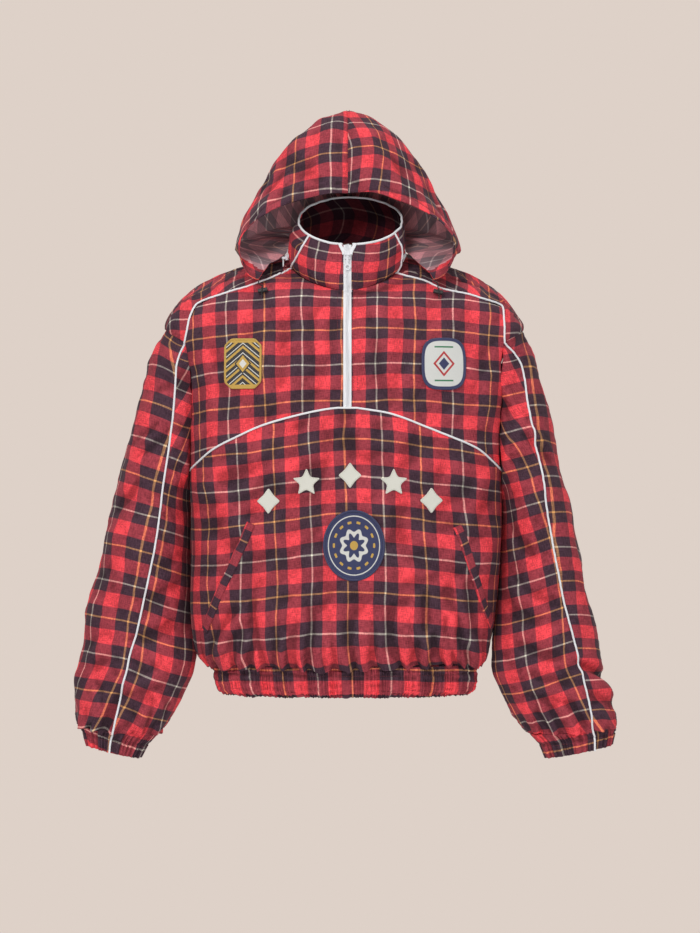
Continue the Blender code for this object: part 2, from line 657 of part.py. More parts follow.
def make_hood(name, side):
    form = hood(side)
    points, normals = [], []
    for share in HOOD_SHARES:
        points.append([form(share, rise) for rise in HOOD_RISES])
        row = []
        for rise in HOOD_RISES:
            inner = [min(max(value, 0.01), 0.985) for value in (share, rise)]
            row.append(normal_of(form, *inner, 0.008, 0.008) * -side)
        row[-1] = Vector((0, row[-1].y, row[-1].z)).normalized()
        normals.append(row)
    return cloth(name, [(points, normals)], CLOTH, "check_cloth")


# ---------------------------------------------------------------- what lies on the panels

def strip(name, line, width, wall, material, lift=LIFT):
    """A flat strip along a seam: line holds the points and normals of the panels there."""
    points, normals = [], []
    for k, (point, normal) in enumerate(line):
        ahead = line[min(k + 1, len(line) - 1)][0] - line[max(k - 1, 0)][0]
        across = ahead.normalized().cross(normal).normalized()
        middle = point + normal * (lift + wall)
        points.append([middle - across * width / 2, middle + across * width / 2])
        normals.append([normal, normal])
    return cloth(name, [(points, normals)], wall, material, back_off=0.0)


def traced(form, places, du=0.5, turn=1):
    return [(form(u, v), normal_of(form, u, v, du, 0.02) * turn) for u, v in places]


def finer(places, steps):
    """More places between those of a seam line."""
    made = []
    for (u0, v0), (u1, v1) in zip(places, places[1:]):
        made += [(u0 + (u1 - u0) * k / steps, v0 + (v1 - v0) * k / steps) for k in range(steps)]
    return made + [places[-1]]


def piping(name, line):
    return strip(name, line, PIPING_WIDTH, PIPING_RISE, "white_piping")


def make_pipings():
    for side, word in ((-1, "right"), (1, "left")):
        seam = shoulder_seam(side)
        piping(f"shoulder_piping_{word}", traced(trunk, seam[:-1] + [between(seam, 0.9)]))
        form = sleeve(side)
        places = [(piping_turn(side, level), level) for level in SLEEVE_LEVELS[1:]]
        facing = 1 if normal_of(form, 90, 5, 1, 0.02).y < 0 else -1
        piping(f"sleeve_piping_{word}", traced(form, places, 1.0, facing))
        upright = collar_side(side)
        upright = [between(upright[1::-1], 0.75)] + upright[1:-1] + [between(upright, 0.88)]
        piping(f"collar_piping_{word}", traced(collar, upright))
        make_collar_edge(f"collar_edge_{word}", side)
    piping("arch_piping", traced(trunk, arch_seam(-1)[1:] + arch_seam(1)[::-1][:-1]))


def between(places, share):
    """Place a share of the way from the last but one to the last."""
    (u0, v0), (u1, v1) = places[-2:]
    return u0 + (u1 - u0) * share, v0 + (v1 - v0) * share


def make_collar_edge(name, side):
    """White binding that stands on the collar's top edge, half way round."""
    end = collar_zip_line(side)[-1][0] + side * 2
    line = []
    for bearing in np.linspace(end, side * 179.0, 17):
        point = collar(bearing, 3.0)
        normal = normal_of(collar, bearing, 2.95, 0.5, 0.02)
        line.append((point, normal))
    points, normals = [], []
    for point, normal in line:
        up = Vector((0, 0, 1)) - normal * normal.z
        low = point + up.normalized() * 0.0006 + normal * 0.0007
        points.append([low, low + up.normalized() * 0.0028])
        normals.append([normal, normal])
    return cloth(name, [(points, normals)], 0.0030, "white_piping", back_off=0.0)


def make_welt(name, ends):
    """Slanted pocket welt, a folded strip standing on the front."""
    places = [front_place(x, z) for x, z in ends]
    return strip(name, traced(trunk, finer(places, 12)), WELT_WIDTH, WELT_WALL, "check_cloth")


def make_patch(name, centre, outline, wall, material, rings=3):
    """A flat piece sewn on the front: outline gives its reach at each angle about its centre."""
    x0, z0 = centre
    points, normals = [], []
    for ring in range(rings + 1):
        row, row_normals = [], []
        for x, z in outline:
            share = ring / rings
            u, v = front_place(x0 + x * share, z0 + z * share)
            normal = normal_of(trunk, u, v, 0.5, 0.02)
            row.append(trunk(u, v) + normal * (LIFT + wall))
            row_normals.append(normal)
        points.append(row + [row[0]])
        normals.append(row_normals + [row_normals[0]])
    return cloth(name, [(points, normals)], wall, material, back_off=0.0)


def oval(half, tall, count=28):
    return [(half * cos(2 * pi * k / count), tall * sin(2 * pi * k / count)) for k in range(count)]


def cut_corner(half, tall, cut):
    """Upright rectangle with its corners cut off."""
    return [(half, 0), (half, tall - cut), (half - cut, tall), (0, tall), (cut - half, tall),
            (-half, tall - cut), (-half, 0), (-half, cut - tall), (cut - half, -tall), (0, -tall),
            (half - cut, -tall), (half, cut - tall)]


def rounded(half, tall, square=3.4, count=28):
    """Upright rectangle with round corners."""
    turns = [2 * pi * k / count for k in range(count)]
    return [(half * power(cos(turn), 2 / square), tall * power(sin(turn), 2 / square)) for turn in turns]


def star(radius, tips):
    """Star with its first tip up; four tips make a long diamond."""
    depth = 0.48 if tips == 5 else 0.62
    return [(radius * (1 if k % 2 == 0 else depth) * sin(pi * k / tips),
             radius * (1 if k % 2 == 0 else depth) * cos(pi * k / tips)) for k in range(2 * tips)]


def make_applied():
    make_welt("pocket_welt_right", WELT_RIGHT)
    make_welt("pocket_welt_left", WELT_LEFT)
    make_patch("patch_gold", GOLD_PATCH[:2], cut_corner(*GOLD_PATCH[2:], 0.010), PATCH_WALL, "gold_patch")
    make_patch("patch_cream", CREAM_PATCH[:2], rounded(*CREAM_PATCH[2:]), PATCH_WALL, "cream_patch")
    make_patch("patch_navy", NAVY_PATCH[:2], oval(*NAVY_PATCH[2:]), PATCH_WALL, "navy_patch", rings=4)
    for number, (x, z, radius, tips) in enumerate(MOTIFS, 1):
        make_patch(f"felt_motif_{number}", (x, z), star(radius, tips), FELT_WALL, "cream_felt", rings=2)


# ---------------------------------------------------------------- zips

def make_zip_tape(name, side):
    """One half of the closed front zip, from the arch over the neck to the collar's top."""
    def edge(share):
        return [(trunk.bearing_at(ZIP_X + side * ZIP_HALF * share, level), level)
                for _, level in zip_line(side)]
    body = patch(trunk, [list(pair) for pair in zip(edge(0.0), edge(1.0))])
    neck = patch(collar, [list(pair) for pair in zip(collar_zip_line(side, 0.0), collar_zip_line(side))])
    seam_normals = [((a + b) / 2).normalized() for a, b in zip(body[1][-1], neck[1][0])]
    body[1][-1], neck[1][0] = seam_normals, seam_normals
    return cloth(name, [body, neck], ZIP_WALL, "zip_white")


def make_hood_zip(name, side):
    """Tape of the hood zip, which goes round the collar from the side to the centre back."""
    points, normals = [], []
    for bearing in np.linspace(HOOD_ZIP_START[side], 179.6, 14):
        normal = normal_of(collar, bearing, HOOD_ZIP_LEVEL, 1, 0.02)
        middle = collar(bearing, HOOD_ZIP_LEVEL) + normal * 0.0022
        up = (Vector((0, 0, 1)) - normal * normal.z).normalized() * HOOD_ZIP_RISE / 2
        points.append([mirrored(middle - up, side), mirrored(middle + up, side)])
        normals.append([mirrored(normal, side)] * 2)
    return cloth(name, [(points, normals)], 0.0012, "zip_white", back_off=0.0)


def box_mesh(size, centre, bevel=0.0):
    bpy.ops.mesh.primitive_cube_add(size=1, location=centre)
    piece = bpy.context.object
    piece.scale = size
    bpy.ops.object.transform_apply(location=False, rotation=False, scale=True)
    if bevel:
        edge = piece.modifiers.new("edge", "BEVEL")
        edge.width, edge.segments = bevel, 2
    return piece


def rod(radius, length, centre, axis, sides=16):
    bpy.ops.mesh.primitive_cylinder_add(vertices=sides, radius=radius, depth=length, location=centre)
    piece = bpy.context.object
    piece.rotation_euler = {"x": (0, pi / 2, 0), "y": (pi / 2, 0, 0), "z": (0, 0, 0)}[axis]
    bpy.ops.object.transform_apply(location=False, rotation=True, scale=False)
    return piece


def combine(target, tool, operation):
    """Cut or join by an exact Boolean and remove the tool."""
    change = target.modifiers.new(operation.lower(), "BOOLEAN")
    change.operation, change.object = operation, tool
    bpy.context.view_layer.objects.active = target
    for modifier in list(target.modifiers):
        bpy.ops.object.modifier_apply(modifier=modifier.name)
    bpy.data.objects.remove(tool)


def finish(piece, name, material, turn, spot):
    """Name a hard piece, turn it to its seat and put it in the jacket's collection."""
    piece.name = name
    piece.data.materials.clear()
    piece.data.materials.append(material_for(material))
    piece.matrix_world = Matrix.Translation(spot) @ turn @ piece.matrix_world
    for group in list(piece.users_collection):
        group.objects.unlink(piece)
    bpy.data.collections[NAME].objects.link(piece)
    return piece


def make_slider(name, spot, turn, size):
    """Slider body with two ears that hold the pin of the pull tab.  In its own frame the pin
    lies on X at the origin and the zip is towards +Y."""
    ear = TAB_WIDTH / 2 + EYE_CLEAR + 0.0006
    body = box_mesh((size[0], SLIDER_WALL, size[1]), (0, SEAT + SLIDER_WALL / 2, 0), 0.0006)
    for x in (-ear, ear):
        combine(body, box_mesh((0.0012, SEAT + 0.0022, 0.0034), (x, (SEAT - 0.0012) / 2, 0)), "UNION")
    combine(body, rod(PIN, 2 * ear, (0, 0, 0), "x", 12), "UNION")
    return finish(body, name, "zip_metal", turn, spot)


def make_tab(name, spot, turn, length, ring, hole):
    """Pull tab: an eye round the pin, a flat shank and a ring at its end."""
    tab = rod(BARREL, TAB_WIDTH, (0, 0, 0), "x")
    reach = length - ring
    shank = box_mesh((TAB_WIDTH * 0.9, TAB_WALL, reach - 0.0012), (0, 0, -0.0012 - (reach - 0.0012) / 2))
    combine(tab, shank, "UNION")
    combine(tab, rod(ring, TAB_WALL * 1.02, (0, 0, -reach), "y", 24), "UNION")
    combine(tab, rod(hole, TAB_WALL * 3, (0, 0, -reach), "y", 16), "DIFFERENCE")
    combine(tab, rod(PIN + EYE_CLEAR, TAB_WIDTH * 2, (0, 0, 0), "x", 16), "DIFFERENCE")
    return finish(tab, name, "zip_metal", turn, spot)


def front_pin():
    """Where the pin of the front pull lies, and the turn that faces it away from the collar."""
    bearing = collar.bearing_at(ZIP_X, FRONT_SLIDER_LEVEL)
    normal = normal_of(collar, bearing, FRONT_SLIDER_LEVEL, 0.5, 0.02)
    lean = atan2(normal.z, -normal.y)
    point = collar(bearing, FRONT_SLIDER_LEVEL)
    return point + Vector((0, -cos(lean), sin(lean))) * FRONT_REACH, Matrix.Rotation(-lean, 4, "X")


def hood_pin():
    """Where the pin of the hood zip's pull lies, on the wearer's right, the turn that lines it
    up with the tape and the tape's own lean."""
    out = mirrored(normal_of(collar, HOOD_SLIDER_BEARING, HOOD_ZIP_LEVEL, 1, 0.02), -1)
    lean = atan2(out.z, hypot(out.x, out.y))
    point = mirrored(collar(HOOD_SLIDER_BEARING, HOOD_ZIP_LEVEL), -1)
    return (point + out * HOOD_REACH, Matrix.Rotation(atan2(out.x, -out.y), 4, "Z"),
            Matrix.Rotation(-lean, 4, "X"))


def make_pulls():
    spot, turn = front_pin()
    make_slider("zip_slider", spot, turn, (SLIDER_WIDTH, SLIDER_LENGTH))
    make_tab("zip_pull", spot, Matrix.Identity(4), 0.0245, 0.0052, 0.0024)
    spot, turn, lean = hood_pin()
    make_slider("hood_zip_slider", spot, turn @ lean, (SLIDER_LENGTH * 0.7, SLIDER_WIDTH * 0.8))
    make_tab("hood_zip_pull", spot, turn, 0.0135, 0.0032, 0.0015)


# ---------------------------------------------------------------- cord ends

def make_cord_end(word, side):
    """Elastic cord from the hood corner, over its lock, which lies across the shoulder piping,
    to its free end on the chest."""
    bearing, level = front_place(side * LOCK_SPOT[side][0], LOCK_SPOT[side][1])
    normal = normal_of(trunk, bearing, level, 0.5, 0.02)
    centre = trunk(bearing, level) + normal * (LOCK_RADIUS + PIPING_RISE + LIFT + 0.0004)
    lock = rod(LOCK_RADIUS, LOCK_LENGTH, (0, 0, 0), "x", 16)
    rim = lock.modifiers.new("rim", "BEVEL")
    rim.width, rim.segments, rim.limit_method = 0.0010, 2, "ANGLE"
    finish(lock, f"cord_lock_{word}", "black_fitting", Matrix.Rotation(radians(side * 12), 4, "Y"), centre)
    up = (Vector((0, 0, 1)) - normal * normal.z).normalized()
    over = [centre + normal * out + up * rise for rise, out in CORD_OVER_LOCK]
    start = mirrored(HOOD_CORNER, side) + Vector((side * 0.0004, -0.0004, -0.0006))
    bow = Vector((side * 0.0030, -0.0030, 0))
    tube(f"hood_cord_{word}", [start, start.lerp(over[0], 0.5) + bow] + over)


def tube(name, points):
    """Cord as a fine polyline with a round section."""
    curve = bpy.data.curves.new(name, "CURVE")
    curve.dimensions, curve.bevel_depth, curve.bevel_resolution = "3D", CORD / 2, 2
    curve.use_fill_caps = True
    line = curve.splines.new("POLY")
    line.points.add(CORD_STEPS - 1)
    route = Path(np.linspace(0, 1, len(points)), points)
    for k, share in enumerate(np.linspace(0, 1, CORD_STEPS)):
        line.points[k].co = (*route(share), 1)
    piece = bpy.data.objects.new(name, curve)
    curve.materials.append(material_for("black_cord"))
    bpy.data.collections[NAME].objects.link(piece)


# ---------------------------------------------------------------- the jacket

def main():
    for old in list(bpy.data.objects):
        bpy.data.objects.remove(old, do_unlink=True)
    bpy.context.scene.collection.children.link(bpy.data.collections.new(NAME))
    make_yoke("front_yoke_right", -1)
    make_yoke("front_yoke_left", 1)
    make_front_lower()
    make_back()
    make_hem_band()
    for side, word in ((-1, "right"), (1, "left")):
        make_sleeve(f"sleeve_front_{word}", side, True)
        make_sleeve(f"sleeve_back_{word}", side, False)
        make_cuff(f"cuff_{word}", side)
        make_collar_front(f"collar_front_{word}", side)
        make_hood(f"hood_{word}", side)
        make_hood_zip(f"hood_zip_{word}", side)
        make_zip_tape(f"zip_{word}", side)
        make_cord_end(word, side)
    make_collar_back()
    make_pipings()
    make_applied()
    make_pulls()


main()
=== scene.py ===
"""Hooded half-zip track jacket, filled out as worn with no wearer.

Metres, +Z up, the front faces -Y and the wearer's left is +X.  The cloth is made panel by panel
on the same forms as the solids it stands for: a trunk and a collar of level rings, two sleeves
that fan out from their armholes, and a hood.  Each panel gets its own creases, gathers and seam
edges, and a map of its cloth in metres that the woven check follows.
"""

from math import atan2, cos, degrees, pi, radians, sin

import bpy
import numpy as np
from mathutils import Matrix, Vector


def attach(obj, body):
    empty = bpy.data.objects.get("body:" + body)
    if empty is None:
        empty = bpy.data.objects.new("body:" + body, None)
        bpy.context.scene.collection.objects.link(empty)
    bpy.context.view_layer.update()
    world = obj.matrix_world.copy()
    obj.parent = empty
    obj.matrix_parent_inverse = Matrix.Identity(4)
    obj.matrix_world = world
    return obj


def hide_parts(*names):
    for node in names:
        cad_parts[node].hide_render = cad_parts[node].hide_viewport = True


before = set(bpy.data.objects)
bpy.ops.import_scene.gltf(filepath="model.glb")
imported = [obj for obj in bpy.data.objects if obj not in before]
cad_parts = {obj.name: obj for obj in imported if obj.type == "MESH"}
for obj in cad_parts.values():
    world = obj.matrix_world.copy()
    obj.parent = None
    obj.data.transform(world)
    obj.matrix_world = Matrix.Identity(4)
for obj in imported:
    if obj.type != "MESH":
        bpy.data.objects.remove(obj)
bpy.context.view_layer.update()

bl_info = {
    "name": "Track Jacket",
    "version": (1, 0, 0),
    "blender": (4, 5, 0),
    "location": "View3D > Sidebar > Track Jacket",
    "description": "Builds the visual model of a hooded half-zip track jacket",
    "category": "Add Mesh",
}

BODY = "jacket"
SIDES = ((-1, "right"), (1, "left"))      # the wearer's right is -X

# ---------------------------------------------------------------- forms, as in the solids

# side height, half width, centre, front and back depth, squareness, climb towards the back
TRUNK = np.array([
    (-0.6195, 0.2035, -0.0020, 0.118, 0.120, 2.30, 0.00),
    (-0.6050, 0.2235, -0.0060, 0.131, 0.132, 2.40, 0.00),
    (-0.5850, 0.2300, -0.0070, 0.138, 0.139, 2.50, 0.00),
    (-0.5450, 0.2355, -0.0050, 0.141, 0.141, 2.60, 0.00),
    (-0.4600, 0.2395, -0.0010, 0.142, 0.141, 2.70, 0.00),
    (-0.3600, 0.2410, 0.0000, 0.141, 0.141, 2.80, 0.00),
    (-0.2700, 0.2430, 0.0000, 0.139, 0.142, 2.80, 0.02),
    (-0.1900, 0.2500, 0.0000, 0.133, 0.143, 2.70, 0.05),
    (-0.1400, 0.2650, -0.0010, 0.125, 0.141, 2.50, 0.08),
    (-0.0980, 0.2785, -0.0030, 0.115, 0.135, 2.35, 0.12),
    (-0.0750, 0.2680, -0.0050, 0.109, 0.130, 2.25, 0.17),
    (-0.0546, 0.2520, -0.0040, 0.104, 0.124, 2.15, 0.23),
    (-0.0360, 0.2265, -0.0025, 0.098, 0.115, 2.10, 0.30),
    (-0.0205, 0.1950, -0.0010, 0.092, 0.105, 2.00, 0.37),
    (-0.0100, 0.1560, 0.0000, 0.087, 0.094, 1.90, 0.44),
    (-0.0040, 0.1160, 0.0000, 0.084, 0.084, 1.75, 0.50),
    (-0.0010, 0.0845, 0.0000, 0.082, 0.078, 1.60, 0.52),
])
TRUNK_TOP = len(TRUNK) - 1
HEM_SEAM = TRUNK[0][0]
COLLAR = np.array([
    (-0.0010, 0.0845, 0.0000, 0.082, 0.078, 1.60, 0.52),
    (0.0160, 0.0900, 0.0005, 0.083, 0.079, 1.80, 0.53),
    (0.0420, 0.0900, 0.0030, 0.080, 0.078, 1.95, 0.55),
    (0.0700, 0.0815, 0.0065, 0.074, 0.071, 2.00, 0.59),
])
COLLAR_TOP = len(COLLAR) - 1.0
HEM_BAND = np.array([
    (-0.6660, 0.1915, 0.0005, 0.112, 0.114, 2.30, 0.00),
    (-0.6560, 0.2020, 0.0000, 0.118, 0.120, 2.30, 0.00),
    (-0.6320, 0.2045, -0.0010, 0.119, 0.121, 2.30, 0.00),
    (-0.6195, 0.2035, -0.0020, 0.118, 0.120, 2.30, 0.00),
])
ARMHOLE = np.array([
    # turn round the sleeve, bearing round the trunk, side height
    (0, 90.0, -0.3600), (25, 84.5, -0.3420), (50, 79.5, -0.2900), (75, 74.0, -0.2350),
    (100, 69.0, -0.1850), (125, 63.5, -0.1420), (145, 61.5, -0.1175), (165, 76.0, -0.1040),
    (180, 90.0, -0.0980), (200, 102.0, -0.1050), (225, 110.0, -0.1350), (250, 112.0, -0.1850),
    (275, 110.0, -0.2350), (305, 104.0, -0.2900), (335, 96.0, -0.3420), (360, 90.0, -0.3600),
])
ARCH_TURN, YOKE_TURN, TOP_TURN = 37, 145, 180
SLEEVE = np.array([
    # in z   out z   in R    in L    out R   out L   depth   mid y   bow
    (0.3640, 0.1290, 0.2424, 0.2424, 0.2990, 0.2900, 0.0800, 0.010, 0.015),
    (0.3720, 0.1720, 0.2440, 0.2440, 0.3120, 0.3030, 0.0870, 0.012, 0.008),
    (0.3920, 0.2550, 0.2452, 0.2450, 0.3350, 0.3240, 0.0930, 0.013, 0.002),
    (0.4250, 0.3450, 0.2458, 0.2452, 0.3560, 0.3425, 0.0930, 0.012, 0.0),
    (0.4700, 0.4180, 0.2460, 0.2450, 0.3740, 0.3600, 0.0880, 0.008, 0.0),
    (0.5250, 0.4920, 0.2455, 0.2410, 0.3910, 0.3760, 0.0790, 0.003, 0.0),
    (0.5800, 0.5560, 0.2420, 0.2330, 0.4050, 0.3880, 0.0710, -0.003, 0.0),
    (0.6250, 0.6060, 0.2380, 0.2270, 0.4130, 0.3960, 0.0650, -0.008, 0.0),
    (0.6620, 0.6480, 0.2500, 0.2400, 0.4185, 0.4020, 0.0610, -0.012, 0.0),
    (0.6980, 0.6960, 0.2690, 0.2590, 0.4190, 0.4170, 0.0570, -0.014, 0.0),
    (0.7300, 0.7180, 0.2930, 0.2860, 0.4140, 0.4180, 0.0480, -0.015, 0.0),
])
CUFF = np.array([
    (0.7300, 0.7180, 0.2930, 0.2860, 0.4140, 0.4180, 0.0480, -0.015, 0.0),
    (0.7450, 0.7260, 0.3060, 0.2990, 0.4105, 0.4175, 0.0440, -0.015, 0.0),
    (0.7660, 0.7450, 0.3180, 0.3080, 0.4050, 0.4140, 0.0400, -0.016, 0.0),
])
SLEEVE_END = len(SLEEVE)
# How far outwards the front piping crosses the armhole and each sleeve ring
PIPING_SHARE = {
    -1: (0.62, 0.50, 0.42, 0.385, 0.405, 0.445, 0.49, 0.54, 0.545, 0.545, 0.53),
    1: (0.82, 0.72, 0.65, 0.61, 0.61, 0.64, 0.70, 0.75, 0.76, 0.72, 0.69),
}
# Seams across the front, as seen from the front: x and z
YOKE = {
    -1: ((-0.2310, -0.0655), (-0.1950, -0.0520), (-0.1620, -0.0415), (-0.1220, -0.0265)),
    1: ((0.2410, -0.0690), (0.2040, -0.0560), (0.1600, -0.0440), (0.1180, -0.0250)),
}
NECK_SEAM = {-1: -82.0, 1: 68.0}          # bearings of the shoulder seams at the neck
ARCH = {
    -1: ((-0.2020, -0.2890), (-0.1640, -0.2680), (-0.1260, -0.2510), (-0.0900, -0.2400),
         (-0.0560, -0.2320), (-0.0280, -0.2270)),
    1: ((0.2030, -0.2880), (0.1660, -0.2710), (0.1280, -0.2560), (0.0920, -0.2420),
        (0.0600, -0.2320), (0.0320, -0.2275)),
}
ARCH_TOP = -0.2240
ZIP_X, ZIP_HALF = 0.0020, 0.0062
COLLAR_SIDE = {-1: (-82.0, -71.0, -62.0, -54.0, -51.0), 1: (68.0, 70.0, 69.0, 64.0, 58.0)}
COLLAR_LEVELS = (0.0, 0.7, 1.5, 2.25, 3.0)

# Hood: share, bearing of its neck edge on the hood zip, half width, wide z, top y, top z, shape
HOOD = np.array([
    (0.00, 0, 0.1650, 0.030, -0.004, 0.1120, 1.75),
    (0.10, 0, 0.1715, 0.023, 0.010, 0.1530, 1.62),
    (0.22, 96, 0.1745, 0.024, 0.031, 0.1920, 1.52),
    (0.35, 106, 0.1720, 0.030, 0.062, 0.2290, 1.50),
    (0.48, 116, 0.1660, 0.040, 0.100, 0.2530, 1.54),
    (0.62, 133, 0.1490, 0.052, 0.144, 0.2510, 1.65),
    (0.76, 150, 0.1160, 0.062, 0.174, 0.2200, 1.78),
    (0.89, 166, 0.0640, 0.070, 0.180, 0.1650, 1.90),
    (1.00, 180, 0.0000, 0.072, 0.158, 0.1080, 2.00),
])
HOOD_CORNER, HOOD_EDGE_STEP = (0.1340, -0.0740, -0.0275), (0.1190, -0.0430, -0.0050)
HOOD_X, HOOD_WIDEST, HOOD_STEP, HOOD_GAP = 0.0030, 0.25, 0.22, 0.0031
HOOD_LEAN = 0.12                         # share of its way back that a ring has made at its widest
HOOD_ZIP_LEVEL, HOOD_ZIP_START = 1.10, {-1: 78.5, 1: 75.0}

WELT = {-1: ((-0.1440, -0.4000), (-0.2170, -0.5640)), 1: ((0.1690, -0.4040), (0.2250, -0.5600))}
WELT_WIDTH = 0.0145
# Centre x and z, half width and half height of each patch
GOLD_PATCH = (-0.1565, -0.1575, 0.0280, 0.0380)
CREAM_PATCH = (0.1480, -0.1580, 0.0330, 0.0390)
NAVY_PATCH = (0.0120, -0.4330, 0.0460, 0.0530)
# Centre x and z, radius and number of tips of each motif
MOTIFS = ((-0.1180, -0.3660, 0.0200, 4), (-0.0600, -0.3380, 0.0225, 5), (0.0060, -0.3270, 0.0200, 4),
          (0.0720, -0.3380, 0.0225, 5), (0.1290, -0.3650, 0.0200, 4))
CORD, LOCK_RADIUS = 0.0018, 0.0036
LOCK_OUT = LOCK_RADIUS + 0.0018 + 0.0006 + 0.0004     # its axis above the form: cloth, cord and gap
LOCK_SPOT = {-1: (0.1270, -0.0480), 1: (0.1400, -0.0500)}
CORD_OVER_LOCK = ((0.0054, 0.0036), (0.0, 0.0052), (-0.0046, 0.0028), (-0.0077, -0.0018),
                  (-0.0115, -0.0044))


def unit(vectors):
    return vectors / np.maximum(np.linalg.norm(vectors, axis=-1, keepdims=True), 1e-12)


def smooth(value):
    """0 below 0, 1 above 1, and a soft step between."""
    value = np.clip(value, 0.0, 1.0)
    return value * value * (3 - 2 * value)


def bump(distance, reach):
    return np.exp(-(distance / reach) ** 2)


def power(value, exponent):
    return np.sign(value) * np.abs(value) ** exponent


def cubic(t, width, low, high, low_tangent, high_tangent):
    return ((2 * t ** 3 - 3 * t ** 2 + 1) * low + (t ** 3 - 2 * t ** 2 + t) * width * low_tangent
            + (3 * t ** 2 - 2 * t ** 3) * high + (t ** 3 - t ** 2) * width * high_tangent)


def tangents(table, step):
    """Slopes at the knots that never let a curve swing past the values it joins."""
    slope = np.diff(table, axis=0) / step.reshape((-1,) + (1,) * (table.ndim - 1))
    before, after = slope[:-1], slope[1:]
    same = before * after > 0
    inner = np.where(same, 2 * before * after / np.where(same, before + after, 1.0), 0.0)
    return np.concatenate([slope[:1], inner, slope[-1:]])


class Track:
    """A smooth curve through a table of values at its knots."""

    def __init__(self, knots, table):
        self.knots, self.table = np.asarray(knots, float), np.asarray(table, float)
        self.step = np.diff(self.knots)
        self.slope = tangents(self.table, self.step)

    def __call__(self, at):
        at = np.asarray(at, float)
        row = np.clip(np.searchsorted(self.knots, at) - 1, 0, len(self.step) - 1)
        width = self.step[row]
        t = (at - self.knots[row]) / width
        if self.table.ndim > 1:
            t, width = t[..., None], width[..., None]
        return cubic(t, width, self.table[row], self.table[row + 1], self.slope[row], self.slope[row + 1])


def stacked(points, level):
    """Each point of a grid at its own level in its own stack of ring points."""
    slope = tangents(points, np.ones(len(points) - 1))
    row = np.clip(np.ceil(level).astype(int) - 1, 0, len(points) - 2)
    index = row[None, ..., None]
    low, high, low_slope, high_slope = (np.take_along_axis(table, index + shift, 0)[0]
                                        for table in (points, slope) for shift in (0, 1))
    return cubic((level - row)[..., None], 1.0, low, high, low_slope, high_slope)


class Rings:
    """A form made of level rings: bearing 0 is the centre front, 90 the wearer's left side."""

    def __init__(self, table):
        self.track = Track(range(len(table)), table)

    def __call__(self, bearing, level):
        z, half, centre, front, back, square, climb = np.moveaxis(self.track(level), -1, 0)
        across, along = np.sin(np.radians(bearing)), np.cos(np.radians(bearing))
        y = -np.where(along >= 0, front, back) * power(along, 2 / square)
        return np.stack([centre + half * power(across, 2 / square), y, z + climb * y], -1)

    def bearing_at(self, x, level):
        """Bearing on the front of a ring at a distance from the middle."""
        half, centre, square = (self.track(level)[..., column] for column in (1, 2, 5))
        share = np.clip((x - centre) / half, -1, 1)
        rest = np.maximum(1e-9, 1 - np.abs(share) ** square)
        return np.degrees(np.arctan2(power(share, square / 2), np.sqrt(rest)))


trunk, collar, hem_band = Rings(TRUNK), Rings(COLLAR), Rings(HEM_BAND)
LEVELS = np.linspace(0, TRUNK_TOP, 4001)
SIDE_HEIGHTS = trunk.track(LEVELS)[:, 0]


def level_at(height):
    """Trunk level at a side height."""
    return np.interp(height, SIDE_HEIGHTS, LEVELS)


def front_place(x, z):
    """Bearing and level of the trunk seen at x and z from the front."""
    x, z = np.broadcast_arrays(np.asarray(x, float), np.asarray(z, float))
    low, high = np.zeros(x.shape), np.full(x.shape, float(TRUNK_TOP))
    for _ in range(26):
        middle = (low + high) / 2
        under = trunk(trunk.bearing_at(x, middle), middle)[..., 2] < z
        low, high = np.where(under, middle, low), np.where(under, high, middle)
    level = (low + high) / 2
    return trunk.bearing_at(x, level), level


armhole_track = Track(ARMHOLE[:, 0], ARMHOLE[:, 1:])


def armhole_place(side, turn):
    found = armhole_track(np.asarray(turn, float) % 360.0001)
    return side * found[..., 0], level_at(found[..., 1])


def sleeve_ring(row, side, turn):
    in_z, out_z, in_right, in_left, out_right, out_left, depth, mid, bow = row
    inner = (in_right if side < 0 else in_left, -in_z)
    outer = (out_right if side < 0 else out_left, -out_z)
    across = power(np.cos(np.radians(turn)), 0.92)
    front = np.sin(np.radians(turn))
    x = (inner[0] + outer[0]) / 2 + (inner[0] - outer[0]) / 2 * across - bow * front * front
    z = (inner[1] + outer[1]) / 2 + (inner[1] - outer[1]) / 2 * across
    return np.stack([side * x, mid - depth * power(front, 0.92), z], -1)


def sleeve(side):
    """The sleeve's form: turn 0 is next to the trunk, 90 the front, and level 0 the armhole."""
    def point_at(turn, level):
        turn, level = np.broadcast_arrays(np.asarray(turn, float), np.asarray(level, float))
        rings = [trunk(*armhole_place(side, turn))] + [sleeve_ring(row, side, turn) for row in SLEEVE]
        return stacked(np.stack(rings), level)
    return point_at


def cuff(side):
    def point_at(turn, level):
        turn, level = np.broadcast_arrays(np.asarray(turn, float), np.asarray(level, float))
        return stacked(np.stack([sleeve_ring(row, side, turn) for row in CUFF]), level)
    return point_at


PIPING_TURN = {side: Track(range(len(shares) + 1),
                           [YOKE_TURN] + [degrees(np.arccos(1 - 2 * s)) for s in shares])
               for side, shares in PIPING_SHARE.items()}

hood_track = Track(HOOD[:, 0], HOOD)


def hood_base(share):
    """Neck edge of the hood on the wearer's left: a free corner, then along the hood zip."""
    def beside_zip(at):
        bearing = hood_track(at)[..., 1]
        outwards = normal_of(collar, bearing, HOOD_ZIP_LEVEL, 1, 0.02)
        return collar(bearing, HOOD_ZIP_LEVEL) + outwards * HOOD_GAP
    reach = beside_zip(np.array(HOOD_STEP))
    corner = Track((0.0, 0.10, HOOD_STEP), [HOOD_CORNER, HOOD_EDGE_STEP, reach])
    return np.where((share >= HOOD_STEP)[..., None], beside_zip(np.maximum(share, HOOD_STEP)),
                    corner(np.minimum(share, HOOD_STEP)))


